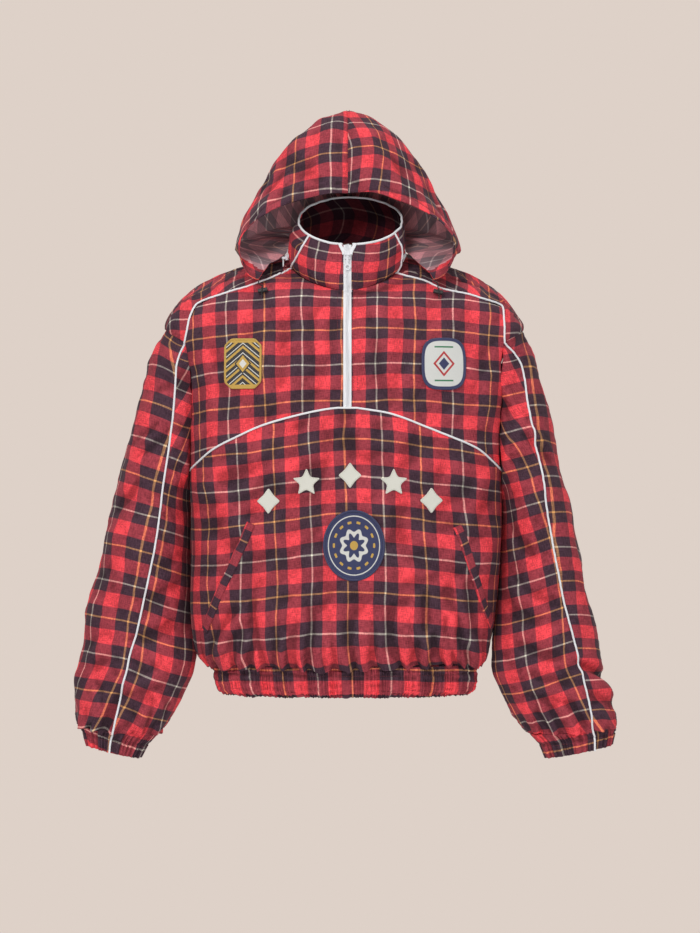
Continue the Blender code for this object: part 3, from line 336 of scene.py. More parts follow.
def hood(side):
    """One half of the hood: share 0 at the opening to 1 at the centre back, rise 0 at the neck
    edge to 1 at the centre seam."""
    def point_at(share, rise):
        share, rise = np.broadcast_arrays(np.asarray(share, float), np.asarray(rise, float))
        half, wide, top_y, top_z, shape = (hood_track(share)[..., column] for column in (2, 3, 4, 5, 6))
        base = hood_base(share)
        turn = np.radians(90) * np.clip((rise - HOOD_WIDEST) / (1 - HOOD_WIDEST), 0, 1)
        high_x = half * np.maximum(0.0, np.cos(turn)) ** (2 / shape)
        high_z = wide + (top_z - wide) * np.sin(turn) ** (2 / shape)
        climb = (1 - np.cos(turn)) * 0.55 + 0.45 * (high_z - wide) / (top_z - wide)
        high_y = base[..., 1] + (top_y - base[..., 1]) * (HOOD_LEAN + (1 - HOOD_LEAN) * climb)
        lift = np.radians(90) * np.minimum(rise / HOOD_WIDEST, 1)
        drop = 1 - np.cos(lift)
        low = (base[..., 0] + (half - base[..., 0]) * np.sin(lift),
               base[..., 1] + (top_y - base[..., 1]) * HOOD_LEAN * drop,
               base[..., 2] + (wide - base[..., 2]) * drop)
        upper = rise >= HOOD_WIDEST
        x, y, z = (np.where(upper, a, b) for a, b in zip((high_x, high_y, high_z), low))
        return np.stack([side * x + HOOD_X * rise, y, z], -1)
    return point_at


def normal_of(form, u, v, du, dv):
    """Normal of a form at its places, from the form a little way to each side."""
    across = form(u + du, v) - form(u - du, v)
    up = form(u, v + dv) - form(u, v - dv)
    return unit(np.cross(across, up))


# ---------------------------------------------------------------- cloth: lengths, relief, check

CLOTH, BAND = 0.0012, 0.0026             # shown walls of single and of gathered double cloth
TAPE = 0.0009                            # wall of the zips' tapes
RED, DARK = (0.80, 0.062, 0.078), (0.056, 0.026, 0.040)
YELLOW, WHITE = (0.86, 0.42, 0.140), (0.76, 0.74, 0.60)
PITCH = 0.0577                           # from one thin line of the check to the next


def between(table, row, column):
    """Value of a table at fractional rows and columns."""
    row = np.clip(row, 0, table.shape[0] - 1.000001)
    column = np.clip(column, 0, table.shape[1] - 1.000001)
    j, i = row.astype(int), column.astype(int)
    t, s = row - j, column - i
    return ((table[j, i] * (1 - s) + table[j, i + 1] * s) * (1 - t)
            + (table[j + 1, i] * (1 - s) + table[j + 1, i + 1] * s) * t)


class Lengths:
    """Lengths on a form, across it at each level and along it at each turn, from its origin."""

    def __init__(self, form, turns, levels, origin):
        self.turns, self.levels = turns, levels
        points = form(turns[None, :], levels[:, None])
        self.across = self.summed(points, 1)
        self.along = self.summed(points, 0)
        start_u, start_v = self.rows(*map(np.array, origin))
        self.across -= between(self.across, np.arange(len(levels), dtype=float),
                               np.full(len(levels), float(start_u)))[:, None]
        self.along -= between(self.along, np.full(len(turns), float(start_v)),
                              np.arange(len(turns), dtype=float))[None, :]

    @staticmethod
    def summed(points, axis):
        steps = np.linalg.norm(np.diff(points, axis=axis), axis=-1)
        return np.concatenate([np.zeros_like(np.take(steps, [0], axis)), np.cumsum(steps, axis)], axis)

    def rows(self, turn, level):
        return ((turn - self.turns[0]) / (self.turns[1] - self.turns[0]),
                (level - self.levels[0]) / (self.levels[1] - self.levels[0]))

    def __call__(self, turn, level):
        column, row = self.rows(turn, level)
        return between(self.across, row, column), between(self.along, row, column)


class TrunkLengths:
    """Lengths of the trunk's cloth.  Below the chest they follow rings and bearings.  Above it
    the cloth hangs straight, so they follow one distance from the middle over the shoulder."""
    CHEST = 8.0

    def __init__(self):
        self.low = Lengths(trunk, np.linspace(-180, 180, 361), np.linspace(0, TRUNK_TOP, 161), (0, 0))
        self.xs = np.linspace(-0.29, 0.29, 233)
        self.levels = np.linspace(self.CHEST, TRUNK_TOP, 161)
        x, level = np.meshgrid(self.xs, self.levels)
        half, centre = (trunk.track(level)[..., column] for column in (1, 2))
        inside = np.abs(x - centre)[1:] < half[1:]
        bearing = trunk.bearing_at(x, level)
        self.faces = []
        for shown in (bearing, 180 - bearing):
            steps = np.linalg.norm(np.diff(trunk(shown, level), axis=0), axis=-1) * inside
            self.faces.append(np.concatenate([np.zeros((1, len(self.xs))), np.cumsum(steps, 0)]))

    def above(self, face, x, level):
        row = (level - self.CHEST) / (self.levels[1] - self.levels[0])
        return between(self.faces[face], row, (x - self.xs[0]) / (self.xs[1] - self.xs[0]))

    def __call__(self, bearing, level, back):
        """Lengths from the middle of the front or back and from the hem."""
        bearing = (bearing + 180) % 360 - 180
        middle = np.where(bearing < 0, -180.0, 180.0) if back else np.zeros_like(bearing)
        u, v = self.low(bearing, level)
        u = u - self.low(middle, level)[0]
        x = trunk(bearing, level)[..., 0]
        chest = np.full_like(x, self.CHEST)
        half, centre = (trunk.track(chest)[..., column] for column in (1, 2))
        past = x - centre - np.clip(x - centre, -0.86 * half, 0.86 * half) if back else np.zeros_like(x)
        x = x - past
        front_chest = trunk.bearing_at(x, chest)
        shown = middle - front_chest if back else front_chest
        high_u, chest_v = self.low(shown, chest)
        high_u = high_u - self.low(middle, chest)[0] - 1.25 * past
        high_v = chest_v + self.above(1 if back else 0, x, level)
        if back:
            top = np.full_like(x, float(TRUNK_TOP))
            over = self.low(shown, chest)[1] + self.above(1, x, top) + self.above(0, x, top) \
                - self.above(0, x, level)
            high_v = np.where(np.abs(bearing) < 90, over, high_v)
        mix = smooth((level - self.CHEST + 1.5) / 2.0)
        upper = level > self.CHEST
        return u + (high_u - u) * mix, np.where(upper, high_v, v)


trunk_lengths = TrunkLengths()
collar_lengths = Lengths(collar, np.linspace(-180, 360, 541), np.linspace(0, 3, 31), (0, 0))
band_lengths = Lengths(hem_band, np.linspace(-180, 360, 541), np.linspace(0, 3, 31), (0, 3))
sleeve_lengths = {side: Lengths(sleeve(side), np.linspace(0, 360, 181),
                                np.linspace(0, SLEEVE_END, 111), (90, 7))
                  for side, _ in SIDES}
cuff_lengths = {side: Lengths(cuff(side), np.linspace(0, 360, 181), np.linspace(0, 2, 21), (90, 0))
                for side, _ in SIDES}
hood_lengths = {side: Lengths(hood(side), np.linspace(0, 1, 101), np.linspace(0, 1, 101), (0, 1))
                for side, _ in SIDES}


def ripple(u, v, size, seed, folds=7):
    """Soft uneven relief: a sum of long waves in many directions, about 1 high."""
    chance = np.random.default_rng(seed)
    total = np.zeros(np.broadcast(u, v).shape)
    for _ in range(folds):
        turn = chance.uniform(0, 2 * pi)
        length = size * chance.uniform(0.6, 1.7)
        start = chance.uniform(0, 2 * pi)
        total = total + np.sin(2 * pi * (u * cos(turn) + v * sin(turn)) / length + start)
    return total / np.sqrt(folds)


def pleats(u, seed, size=0.011, share=0.55):
    """Uneven gathers across a seam, from 0 in a trough to 1 on a ridge."""
    chance = np.random.default_rng(seed)
    warp = u + 0.0045 * np.sin(2 * pi * u / 0.083 + chance.uniform(0, 6)) \
        + 0.0030 * np.sin(2 * pi * u / 0.037 + chance.uniform(0, 6))
    fine = 0.5 + 0.5 * np.sin(2 * pi * warp / size)
    broad = 0.5 + 0.5 * np.sin(2 * pi * warp / (size * 2.7) + 1.3)
    return (share * fine + (1 - share) * broad) ** 1.3


def creases(u, v, table):
    """Soft ridges and troughs: each row has its two ends, how far it bows to the side, its
    width and its height, below zero for a trough."""
    total = np.zeros(np.broadcast(u, v).shape)
    for u0, v0, u1, v1, bow, width, height in table:
        along = np.array((u1 - u0, v1 - v0))
        length = float(np.hypot(*along))
        along = along / length
        t = ((u - u0) * along[0] + (v - v0) * along[1]) / length
        side = (u - u0) * -along[1] + (v - v0) * along[0] - bow * 4 * t * (1 - t)
        ends = smooth(t / 0.3 + 0.25) * smooth((1 - t) / 0.3 + 0.25)
        total = total + height * ends * (bump(side, width) - 0.4 * bump(side - 1.7 * width, 1.1 * width)
                                         - 0.3 * bump(side + 1.7 * width, 1.1 * width))
    return total


def tuck(distance, reach=0.006, fall=0.020):
    """Share, by distance from a gathered seam, of the cloth that hangs over it."""
    distance = np.maximum(distance, 0)
    return smooth(distance / reach) * np.exp(-np.maximum(distance - reach, 0) / fall)


class Skin:
    """A form with its relief: places on it are points of the shown cloth. Slide is a second
    relief that moves places by a vector, for cloth that hangs over a seam."""

    def __init__(self, form, step, relief, outward=1, slide=None):
        self.form, self.step, self.relief, self.outward, self.slide = form, step, relief, outward, slide

    def normal(self, u, v):
        return normal_of(self.form, u, v, *self.step) * self.outward

    def __call__(self, u, v, lift=0.0):
        """Points and normals of the cloth, or of what lies a little above it."""
        u, v = np.broadcast_arrays(np.asarray(u, float), np.asarray(v, float))
        normals = self.normal(u, v)
        points = self.form(u, v)
        height = self.relief(u, v, points) + lift
        moved = points + normals * np.expand_dims(height, -1)
        return (moved + self.slide(u, v, points) if self.slide else moved), normals


# Creases on the front, as seen from the front in x and z: from, to, bow, width, height
FRONT_CREASES = (
    (-0.205, -0.610, -0.150, -0.535, 0.006, 0.0080, 0.0035),
    (-0.165, -0.612, -0.148, -0.560, -0.004, 0.0060, 0.0026),
    (-0.128, -0.615, -0.138, -0.500, 0.008, 0.0090, -0.0030),
    (-0.098, -0.614, -0.092, -0.565, 0.002, 0.0060, 0.0022),
    (-0.062, -0.615, -0.052, -0.530, -0.004, 0.0070, -0.0024),
    (-0.022, -0.616, -0.028, -0.572, 0.002, 0.0055, 0.0020),
    (0.012, -0.616, 0.004, -0.545, 0.005, 0.0075, -0.0026),
    (0.044, -0.616, 0.052, -0.575, -0.002, 0.0060, 0.0022),
    (0.078, -0.615, 0.070, -0.520, 0.006, 0.0080, -0.0028),
    (0.112, -0.614, 0.128, -0.545, -0.006, 0.0070, 0.0030),
    (0.150, -0.612, 0.122, -0.500, 0.010, 0.0090, -0.0034),
    (0.176, -0.611, 0.162, -0.535, 0.004, 0.0070, 0.0030),
    (0.203, -0.608, 0.172, -0.480, 0.008, 0.0090, 0.0032),
    (-0.215, -0.330, -0.170, -0.420, 0.010, 0.0160, 0.0022),
    (0.222, -0.320, 0.185, -0.430, -0.012, 0.0150, 0.0024),
    (-0.045, -0.300, -0.060, -0.440, 0.006, 0.0160, -0.0012),
    (0.075, -0.360, 0.110, -0.470, -0.010, 0.0170, -0.0014),
    (-0.226, -0.120, -0.205, -0.255, 0.006, 0.0120, 0.0018),
    (-0.095, -0.080, -0.105, -0.200, 0.004, 0.0140, -0.0014),
    (-0.030, -0.070, -0.040, -0.150, -0.004, 0.0110, 0.0014),
    (0.035, -0.075, 0.048, -0.190, 0.005, 0.0120, -0.0014),
    (0.100, -0.090, 0.085, -0.215, 0.006, 0.0150, 0.0012),
    (0.232, -0.125, 0.212, -0.250, -0.006, 0.0120, 0.0018),
)
BACK_CREASES = (
    (-0.190, -0.612, -0.160, -0.500, 0.008, 0.0090, 0.0034),
    (-0.140, -0.614, -0.150, -0.550, -0.004, 0.0070, -0.0024),
    (-0.095, -0.615, -0.075, -0.480, 0.010, 0.0100, 0.0032),
    (-0.050, -0.616, -0.058, -0.560, 0.002, 0.0065, -0.0022),
    (-0.008, -0.616, 0.006, -0.525, -0.006, 0.0080, 0.0026),
    (0.040, -0.616, 0.030, -0.560, 0.003, 0.0070, -0.0024),
    (0.085, -0.615, 0.110, -0.490, -0.008, 0.0100, 0.0034),
    (0.135, -0.614, 0.128, -0.550, 0.004, 0.0070, -0.0026),
    (0.178, -0.612, 0.200, -0.520, -0.006, 0.0085, 0.0030),
    (-0.200, -0.180, -0.090, -0.260, 0.014, 0.0180, 0.0030),
    (0.205, -0.170, 0.085, -0.250, -0.014, 0.0190, 0.0032),
    (-0.185, -0.330, -0.060, -0.400, 0.012, 0.0200, -0.0026),
    (0.190, -0.320, 0.070, -0.410, -0.012, 0.0190, -0.0026),
    (-0.020, -0.140, -0.035, -0.330, 0.010, 0.0200, 0.0018),
)


# Height of the soft folds below the chest arch, by the distance from the middle
UNDER_ARCH = ((-0.25, -0.1, 0.0, 0.1, 0.25), (-0.360, -0.300, -0.262, -0.300, -0.360))
BAND_ROWS = (-0.6325, -0.6545)           # heights of the two rows of stitches in the hem band


def trunk_gather(bearing, level):
    """Gathers along the hem, and the broad scallops that they hang in."""
    bearing = (bearing + 180) % 360 - 180
    u, middle = trunk_lengths.low(bearing, level)[0], bump(180 - np.abs(bearing), 5)
    return tuple(pleats(u, 21, 0.0120, share) * (1 - middle) + 0.4 * middle for share in (0.22, 0.0))


def trunk_relief(bearing, level, points):
    x, y, z = np.moveaxis(points, -1, 0)
    front = smooth(0.5 - y / 0.06)
    to_hem = z - HEM_SEAM
    height = 1.9 * creases(x, z, FRONT_CREASES) * front + 2.0 * creases(x, z, BACK_CREASES) * (1 - front)
    height = height + 0.0026 * ripple(x + 3 * (1 - front), z, 0.17, 5) + 0.0010 * ripple(x, z, 0.062, 8) \
        + 0.0004 * ripple(x, z, 0.024, 9)
    gather = trunk_gather(bearing, level)[0]
    height = height + 0.0085 * (gather - 0.40) * tuck(to_hem, 0.004, 0.028)
    height = height + 0.0030 * tuck(to_hem, 0.004, 0.012)
    under = bump(z - np.interp(x, *UNDER_ARCH), 0.030) * front
    height = height + 0.0012 * under * ripple(x, z, 0.050, 14)
    beside = bump(np.abs((bearing + 180) % 360 - 180) - 90, 20) * smooth((z + 0.66) / 0.06)
    return (height * (1 - 0.75 * beside) + 0.0008 * beside) * smooth((TRUNK_TOP - level) / 0.8)


def trunk_slide(bearing, level, points):
    """The body's gathered cloth hangs in scallops over the band's seam."""
    scallop = trunk_gather(bearing, level)[1]
    down = (0.0035 + 0.0035 * scallop) * tuck(points[..., 2] - HEM_SEAM, 0.0055, 0.012)
    return np.stack([0 * down, 0 * down, -down], -1)


def band_relief(bearing, level, points):
    bearing = (bearing + 180) % 360 - 180
    u = trunk_lengths.low(bearing, np.zeros_like(level))[0]
    gather = 0.0034 * (pleats(u, 33, 0.0052, 0.6) - 0.5) + 0.0012 * ripple(u, 3 * level, 0.035, 34)
    gather = gather * (1 - bump(180 - np.abs(bearing), 2)) * (0.2 + 0.8 * smooth((3 - level) / 0.4))
    rows = sum(bump(points[..., 2] - height, 0.0022) for height in BAND_ROWS)
    return gather * (1 - 0.6 * rows) - 0.0011 * rows


# How far each sleeve swells where it rests on the body's side: heights and swells
SLEEVE_REST = {
    -1: ((-0.650, -0.630, -0.605, -0.585, -0.550, -0.450, -0.360, -0.320),
         (0, 0.0010, 0.0065, 0.0065, 0.0048, 0.0032, 0.0022, 0)),
    1: ((-0.640, -0.608, -0.585, -0.522, -0.430, -0.366, -0.320),
        (0, 0.0012, 0.0050, 0.0070, 0.0055, 0.0026, 0)),
}


def from_inner(turn):
    """Degrees round a sleeve from its line next to the body."""
    return np.minimum(turn % 360, 360 - turn % 360)


def sleeve_length(side, turn):
    """How far along its cloth a sleeve ends, at a turn."""
    return sleeve_lengths[side](turn, np.full_like(turn, float(SLEEVE_END)))[1]


def sleeve_relief(side):
    def relief(turn, level, points):
        u, v = sleeve_lengths[side](turn, level)
        to_cuff = sleeve_length(side, turn) - v
        height = 1.8 * creases(u, v, SLEEVE_CREASES[side])
        height = height + 0.0026 * ripple(u, v, 0.14, 40 + side) + 0.0010 * ripple(u, v, 0.055, 50 + side) \
            + 0.0004 * ripple(u, v, 0.022, 55 + side)
        inner = from_inner(turn)
        seam = bump(inner, 13)
        height = height * (1 - seam)
        gather = pleats(u, 60 + side, 0.013, 0.20) * (1 - seam) + 0.42 * seam
        height = height + 0.0095 * (gather - 0.42) * tuck(to_cuff, 0.006, 0.030)
        height = height + 0.0010 * tuck(to_cuff, 0.006, 0.012)
        beside = bump(inner, 38) * smooth((9.6 - level) / 2)
        rest = np.interp(points[..., 2], *SLEEVE_REST[side]) * bump(inner, 46)
        return height * (1 - 0.8 * beside) + rest
    return relief


def sleeve_slide(side):
    """The sleeve's gathered cloth hangs over the cuff's seam."""
    axis = unit(sleeve(side)(np.linspace(0, 350, 24), np.full(24, float(SLEEVE_END))).mean(0)
                - sleeve(side)(np.linspace(0, 350, 24), np.full(24, SLEEVE_END - 0.5)).mean(0))

    def slide(turn, level, points):
        u, v = sleeve_lengths[side](turn, level)
        down = 0.0022 + 0.0040 * pleats(u, 60 + side, 0.013, 0.0)
        down = down * tuck(sleeve_length(side, turn) - v, 0.0055, 0.012)
        down = down * (1 - 0.9 * bump(from_inner(turn), 55))
        return np.expand_dims(down, -1) * axis
    return slide


# Creases of each sleeve in its own lengths round it from the front and along it
SLEEVE_CREASES = {
    -1: (
        (0.020, -0.330, 0.075, -0.270, 0.004, 0.0090, 0.0026),
        (0.030, -0.250, 0.085, -0.175, 0.006, 0.0120, -0.0022),
        (-0.060, -0.110, 0.020, -0.060, 0.006, 0.0110, 0.0024),
        (-0.070, -0.030, 0.010, 0.015, 0.006, 0.0120, -0.0024),
        (-0.050, 0.060, 0.035, 0.085, 0.004, 0.0100, 0.0028),
        (0.020, 0.020, 0.090, 0.060, -0.006, 0.0120, 0.0024),
        (-0.030, 0.105, -0.020, 0.160, 0.003, 0.0080, 0.0030),
        (0.010, 0.095, 0.022, 0.158, -0.003, 0.0080, -0.0030),
        (0.055, 0.090, 0.050, 0.155, 0.003, 0.0080, 0.0030),
        (-0.070, 0.100, -0.058, 0.150, 0.003, 0.0080, -0.0026),
        (0.240, -0.120, 0.150, -0.080, 0.008, 0.0130, 0.0030),
        (0.230, 0.000, 0.150, 0.030, 0.008, 0.0120, -0.0030),
    ),
    1: (
        (0.020, -0.330, 0.075, -0.270, 0.004, 0.0090, 0.0026),
        (-0.070, -0.190, -0.010, -0.120, 0.006, 0.0110, -0.0022),
        (-0.075, -0.100, 0.000, -0.030, 0.008, 0.0120, 0.0028),
        (-0.060, 0.000, 0.020, 0.040, 0.006, 0.0110, -0.0026),
        (0.040, 0.052, 0.130, 0.092, 0.002, 0.0075, -0.0055),
        (0.050, 0.082, 0.135, 0.120, 0.004, 0.0110, 0.0045),
        (-0.045, 0.070, 0.030, 0.100, 0.004, 0.0100, 0.0028),
        (-0.030, 0.110, -0.022, 0.165, 0.003, 0.0080, 0.0030),
        (0.012, 0.105, 0.020, 0.160, -0.003, 0.0080, -0.0028),
        (0.060, 0.120, 0.052, 0.165, 0.003, 0.0080, 0.0030),
        (0.240, -0.110, 0.150, -0.070, 0.008, 0.0130, 0.0030),
        (0.230, 0.010, 0.150, 0.040, 0.008, 0.0120, -0.0030),
    ),
}


def cuff_relief(side):
    def relief(turn, level, points):
        u = cuff_lengths[side](turn, np.zeros_like(level))[0]
        swell = 0.75 + 0.25 * np.sin(u * 60 + 3 * level)
        gather = 0.0056 * (pleats(u, 70 + side, 0.0085, 0.5) - 0.5) * swell
        inner = from_inner(turn)
        gather = gather * (1 - bump(inner, 6)) * (0.15 + 0.85 * smooth(level / 0.35))
        row = bump(level - 1.0, 0.12)
        return gather * (1 - 0.5 * row) - 0.0012 * row
    return relief


def collar_relief(bearing, level, points):
    u, v = collar_lengths(bearing, level)
    return (0.0012 * ripple(u, v, 0.09, 91) + 0.0005 * ripple(u, v, 0.03, 92)) * smooth(level / 0.3)


def hood_relief(side):
    def relief(share, rise, points):
        u, v = hood_lengths[side](share, rise)
        height = 0.0028 * ripple(u, v, 0.15, 80 + side) + 0.0012 * ripple(u, v, 0.055, 85 + side) \
            + 0.0004 * ripple(u, v, 0.022, 88 + side)
        high, from_seam = ((0.0100, 0.042) if side > 0 else (0.0040, 0.028))
        crown = high * bump(v + from_seam, 0.75 * from_seam) * smooth(1.6 - 2.6 * share)
        casing = 0.0012 * (pleats(v, 95 + side, 0.012, 0.4) - 0.5) * bump(share, 0.06) \
            + 0.0008 * smooth((0.0165 - u) / 0.004) - 0.0012 * bump(u - 0.0150, 0.0022) \
            - 0.0010 * bump(v + 0.0050, 0.0016)
        return 0.0012 + height * smooth((1 - rise) / 0.08) * smooth(share / 0.05 + 0.3) + crown + casing
    return relief


# How far to each side of a place its normal is read: degrees and levels, or shares of the hood
RING_STEP, TUBE_STEP, SHARE_STEP = (0.5, 0.02), (1.0, 0.02), (0.008, 0.008)
trunk_skin = Skin(trunk, RING_STEP, trunk_relief, 1, trunk_slide)
band_skin = Skin(hem_band, RING_STEP, band_relief)
collar_skin = Skin(collar, RING_STEP, collar_relief)
sleeve_skin = {side: Skin(sleeve(side), TUBE_STEP, sleeve_relief(side), -side, sleeve_slide(side))
               for side, _ in SIDES}
cuff_skin = {side: Skin(cuff(side), TUBE_STEP, cuff_relief(side), -side) for side, _ in SIDES}
hood_skin = {side: Skin(hood(side), SHARE_STEP, hood_relief(side), side) for side, _ in SIDES}


# ---------------------------------------------------------------- meshes

def chosen():
    """The sizes and colours set in the panel."""
    return bpy.context.scene.track_jacket


def make_object(name, mesh, node, materials, body=BODY, stands_for=True):
    """Link a piece, ride it on its body and hand it its materials."""
    piece = bpy.data.objects.new(name, mesh)
    bpy.context.scene.collection.objects.link(piece)
    for material in materials:
        mesh.materials.append(material)
    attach(piece, body)
    if stands_for:
        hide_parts(*([node] if isinstance(node, str) else node))
    return piece


def build_mesh(name, verts, faces, uv=None, slots=None, crisp=60, fold=None):
    """Mesh from points and rows of four corners; a row whose last two are equal is a triangle.
    uv holds one place for each corner of each face, fold how far each point lies in a fold, which the cloth
    material turns into painted shade."""
    corners = np.ones(faces.shape, bool)
    corners[:, 3] = faces[:, 3] != faces[:, 2]
    counts = corners.sum(1)
    mesh = bpy.data.meshes.new(name)
    mesh.vertices.add(len(verts))
    mesh.vertices.foreach_set("co", np.ascontiguousarray(verts, np.float32).ravel())
    mesh.loops.add(int(counts.sum()))
    mesh.loops.foreach_set("vertex_index", faces[corners].astype(np.int32))
    mesh.polygons.add(len(faces))
    mesh.polygons.foreach_set("loop_start", (np.cumsum(counts) - counts).astype(np.int32))
    mesh.polygons.foreach_set("use_smooth", np.ones(len(faces), bool))
    if slots is not None:
        mesh.polygons.foreach_set("material_index", slots.astype(np.int32))
    mesh.update(calc_edges=True)
    if uv is not None:
        layer = mesh.uv_layers.new(name="cloth")
        layer.data.foreach_set("uv", np.ascontiguousarray(uv[corners], np.float32).ravel())
    # The fold attribute is read by the cloth material as painted shade in creases.
    if fold is not None:
        depth = mesh.attributes.new("fold", "FLOAT", "POINT")
        depth.data.foreach_set("value", np.ascontiguousarray(fold, np.float32))
    if crisp:
        mesh.set_sharp_from_angle(angle=radians(crisp))
    return mesh


def calmed(grid, times):
    """A grid of values smoothed a little, its borders only along themselves."""
    for _ in range(times):
        for axis in (0, 1):
            border = [(1, 1) if k == axis else (0, 0) for k in range(grid.ndim)]
            wide = np.pad(grid, border, "reflect", reflect_type="odd")
            low, high = (np.take(wide, range(k, k + grid.shape[axis]), axis) for k in (0, 2))
            grid = (low + 2 * grid + high) / 4
    return grid


def painted_crease_shade(points, normals):
    """How far each point of a grid lies in its fold, from -1 on a ridge to 1 in a trough: the amount of
    painted shade that the cloth material puts in creases and gathers.
    """
    near = calmed(points, 5)
    far = calmed(near, 22)
    fine, broad = (((rest - at) * normals).sum(-1) for rest, at in ((near, points), (far, near)))
    return np.clip(fine / 0.0007 + broad / 0.0022, -0.5, 1)


def shell(name, patches, wall, inner_slot=0, face_slot=None):
    """Closed cloth from patches that share their edges: face, reverse a wall deeper, and rims.
    face_slot tells, from the middles of faces, where the reverse shows the face's cloth."""
    verts, normals, faces, uvs, folds, start = [], [], [], [], [], 0
    for points, facing, uv, *reverse_uv in patches:
        rows, columns = points.shape[:2]
        ids = start + np.arange(rows * columns).reshape(rows, columns)
        quads = np.stack([ids[:-1, :-1], ids[:-1, 1:], ids[1:, 1:], ids[1:, :-1]], -1).reshape(-1, 4)
        flat, out = points.reshape(-1, 3), facing.reshape(-1, 3)
        cross = np.cross(flat[quads[:, 2] - start] - flat[quads[:, 0] - start],
                         flat[quads[:, 3] - start] - flat[quads[:, 1] - start])
        if (cross * out[quads[:, 0] - start]).sum() < 0:
            quads = quads[:, ::-1]
        verts.append(flat)
        # Painted shade: how far each point lies in its fold, for the cloth material to darken its colour by.
        folds.append(painted_crease_shade(points, facing).ravel())
        normals.append(out)
        faces.append(quads)
        uvs.append(np.concatenate([uv, *(reverse_uv or [uv])], -1).reshape(-1, 4)[quads - start])
        start += rows * columns
    parts = (verts, normals, faces, uvs, folds)
    verts, normals, faces, uvs, folds = (np.concatenate(part) for part in parts)
    keys = np.round(verts * 2e4).astype(np.int64)
    _, first, index = np.unique(keys, axis=0, return_index=True, return_inverse=True)
    index = index.ravel()
    summed = np.zeros((len(first), 3))
    np.add.at(summed, index, normals)
    verts, normals, faces, folds = verts[first], unit(summed), index[faces], folds[first]
    faces, uvs = tidy_faces(faces, uvs)
    count = len(verts)
    pairs, pair_uv = open_edges(faces, uvs, count)
    inner = verts - normals * wall
    rims = np.stack([pairs[:, 1], pairs[:, 0], pairs[:, 0] + count, pairs[:, 1] + count], -1)
    rim_uv = np.stack([pair_uv[:, 1], pair_uv[:, 0], pair_uv[:, 0], pair_uv[:, 1]], 1)
    turned = faces[:, ::-1] + count
    turned_uv = uvs[:, ::-1, 2:]
    triangles = faces[:, 3] == faces[:, 2]
    turned[triangles] = faces[triangles][:, [2, 1, 0, 0]] + count
    turned_uv[triangles] = uvs[triangles][:, [2, 1, 0, 0], 2:]
    inside_slots = np.full(len(faces), inner_slot)
    if face_slot:
        inside_slots[face_slot(verts[faces].mean(1))] = 0
    slots = np.concatenate([np.zeros(len(faces)), inside_slots, np.zeros(len(rims))])
    # The face gets the painted crease shade, the reverse the opposite at half strength.
    return build_mesh(name, np.concatenate([verts, inner]), np.concatenate([faces, turned, rims]),
                      np.concatenate([uvs[..., :2], turned_uv, rim_uv]), slots,
                      fold=np.concatenate([folds, -0.5 * folds]))


def open_edges(faces, uvs, count):
    """Edges that one face alone has: their two points and their two places."""
    pairs = np.stack([faces, np.roll(faces, -1, 1)], -1).reshape(-1, 2)
    pair_uv = np.stack([uvs[..., :2], np.roll(uvs, -1, 1)[..., :2]], -2).reshape(-1, 2, 2)
    real = pairs[:, 0] != pairs[:, 1]
    pairs, pair_uv = pairs[real], pair_uv[real]
    there = pairs[:, 0] * count + pairs[:, 1]
    back = pairs[:, 1] * count + pairs[:, 0]
    alone = ~np.isin(there, back)
    return pairs[alone], pair_uv[alone]


def tidy_faces(faces, uvs):
    """Faces with a doubled corner as triangles, whose last two corners are equal."""
    for k in range(4):
        double = faces[:, k] == faces[:, (k + 1) % 4]
        order = [(k + 1 + j) % 4 for j in range(3)]
        order.append(order[-1])
        faces[double], uvs[double] = faces[double][:, order], uvs[double][:, order]
    real = (faces[:, 0] != faces[:, 1]) & (faces[:, 1] != faces[:, 2]) & (faces[:, 0] != faces[:, 2])
    return faces[real], uvs[real]


def run(points, least=0.0):
    """Length along a line of points, from its first."""
    steps = np.linalg.norm(np.diff(points, axis=0), axis=-1)
    return np.concatenate([[0], np.cumsum(np.maximum(steps, least))])


# The rings that close a round end: how far in they stand, and how wide they are
END_STEPS, END_WIDTHS = (0.15, 0.55, 0.85), (0.45, 0.80, 0.96)


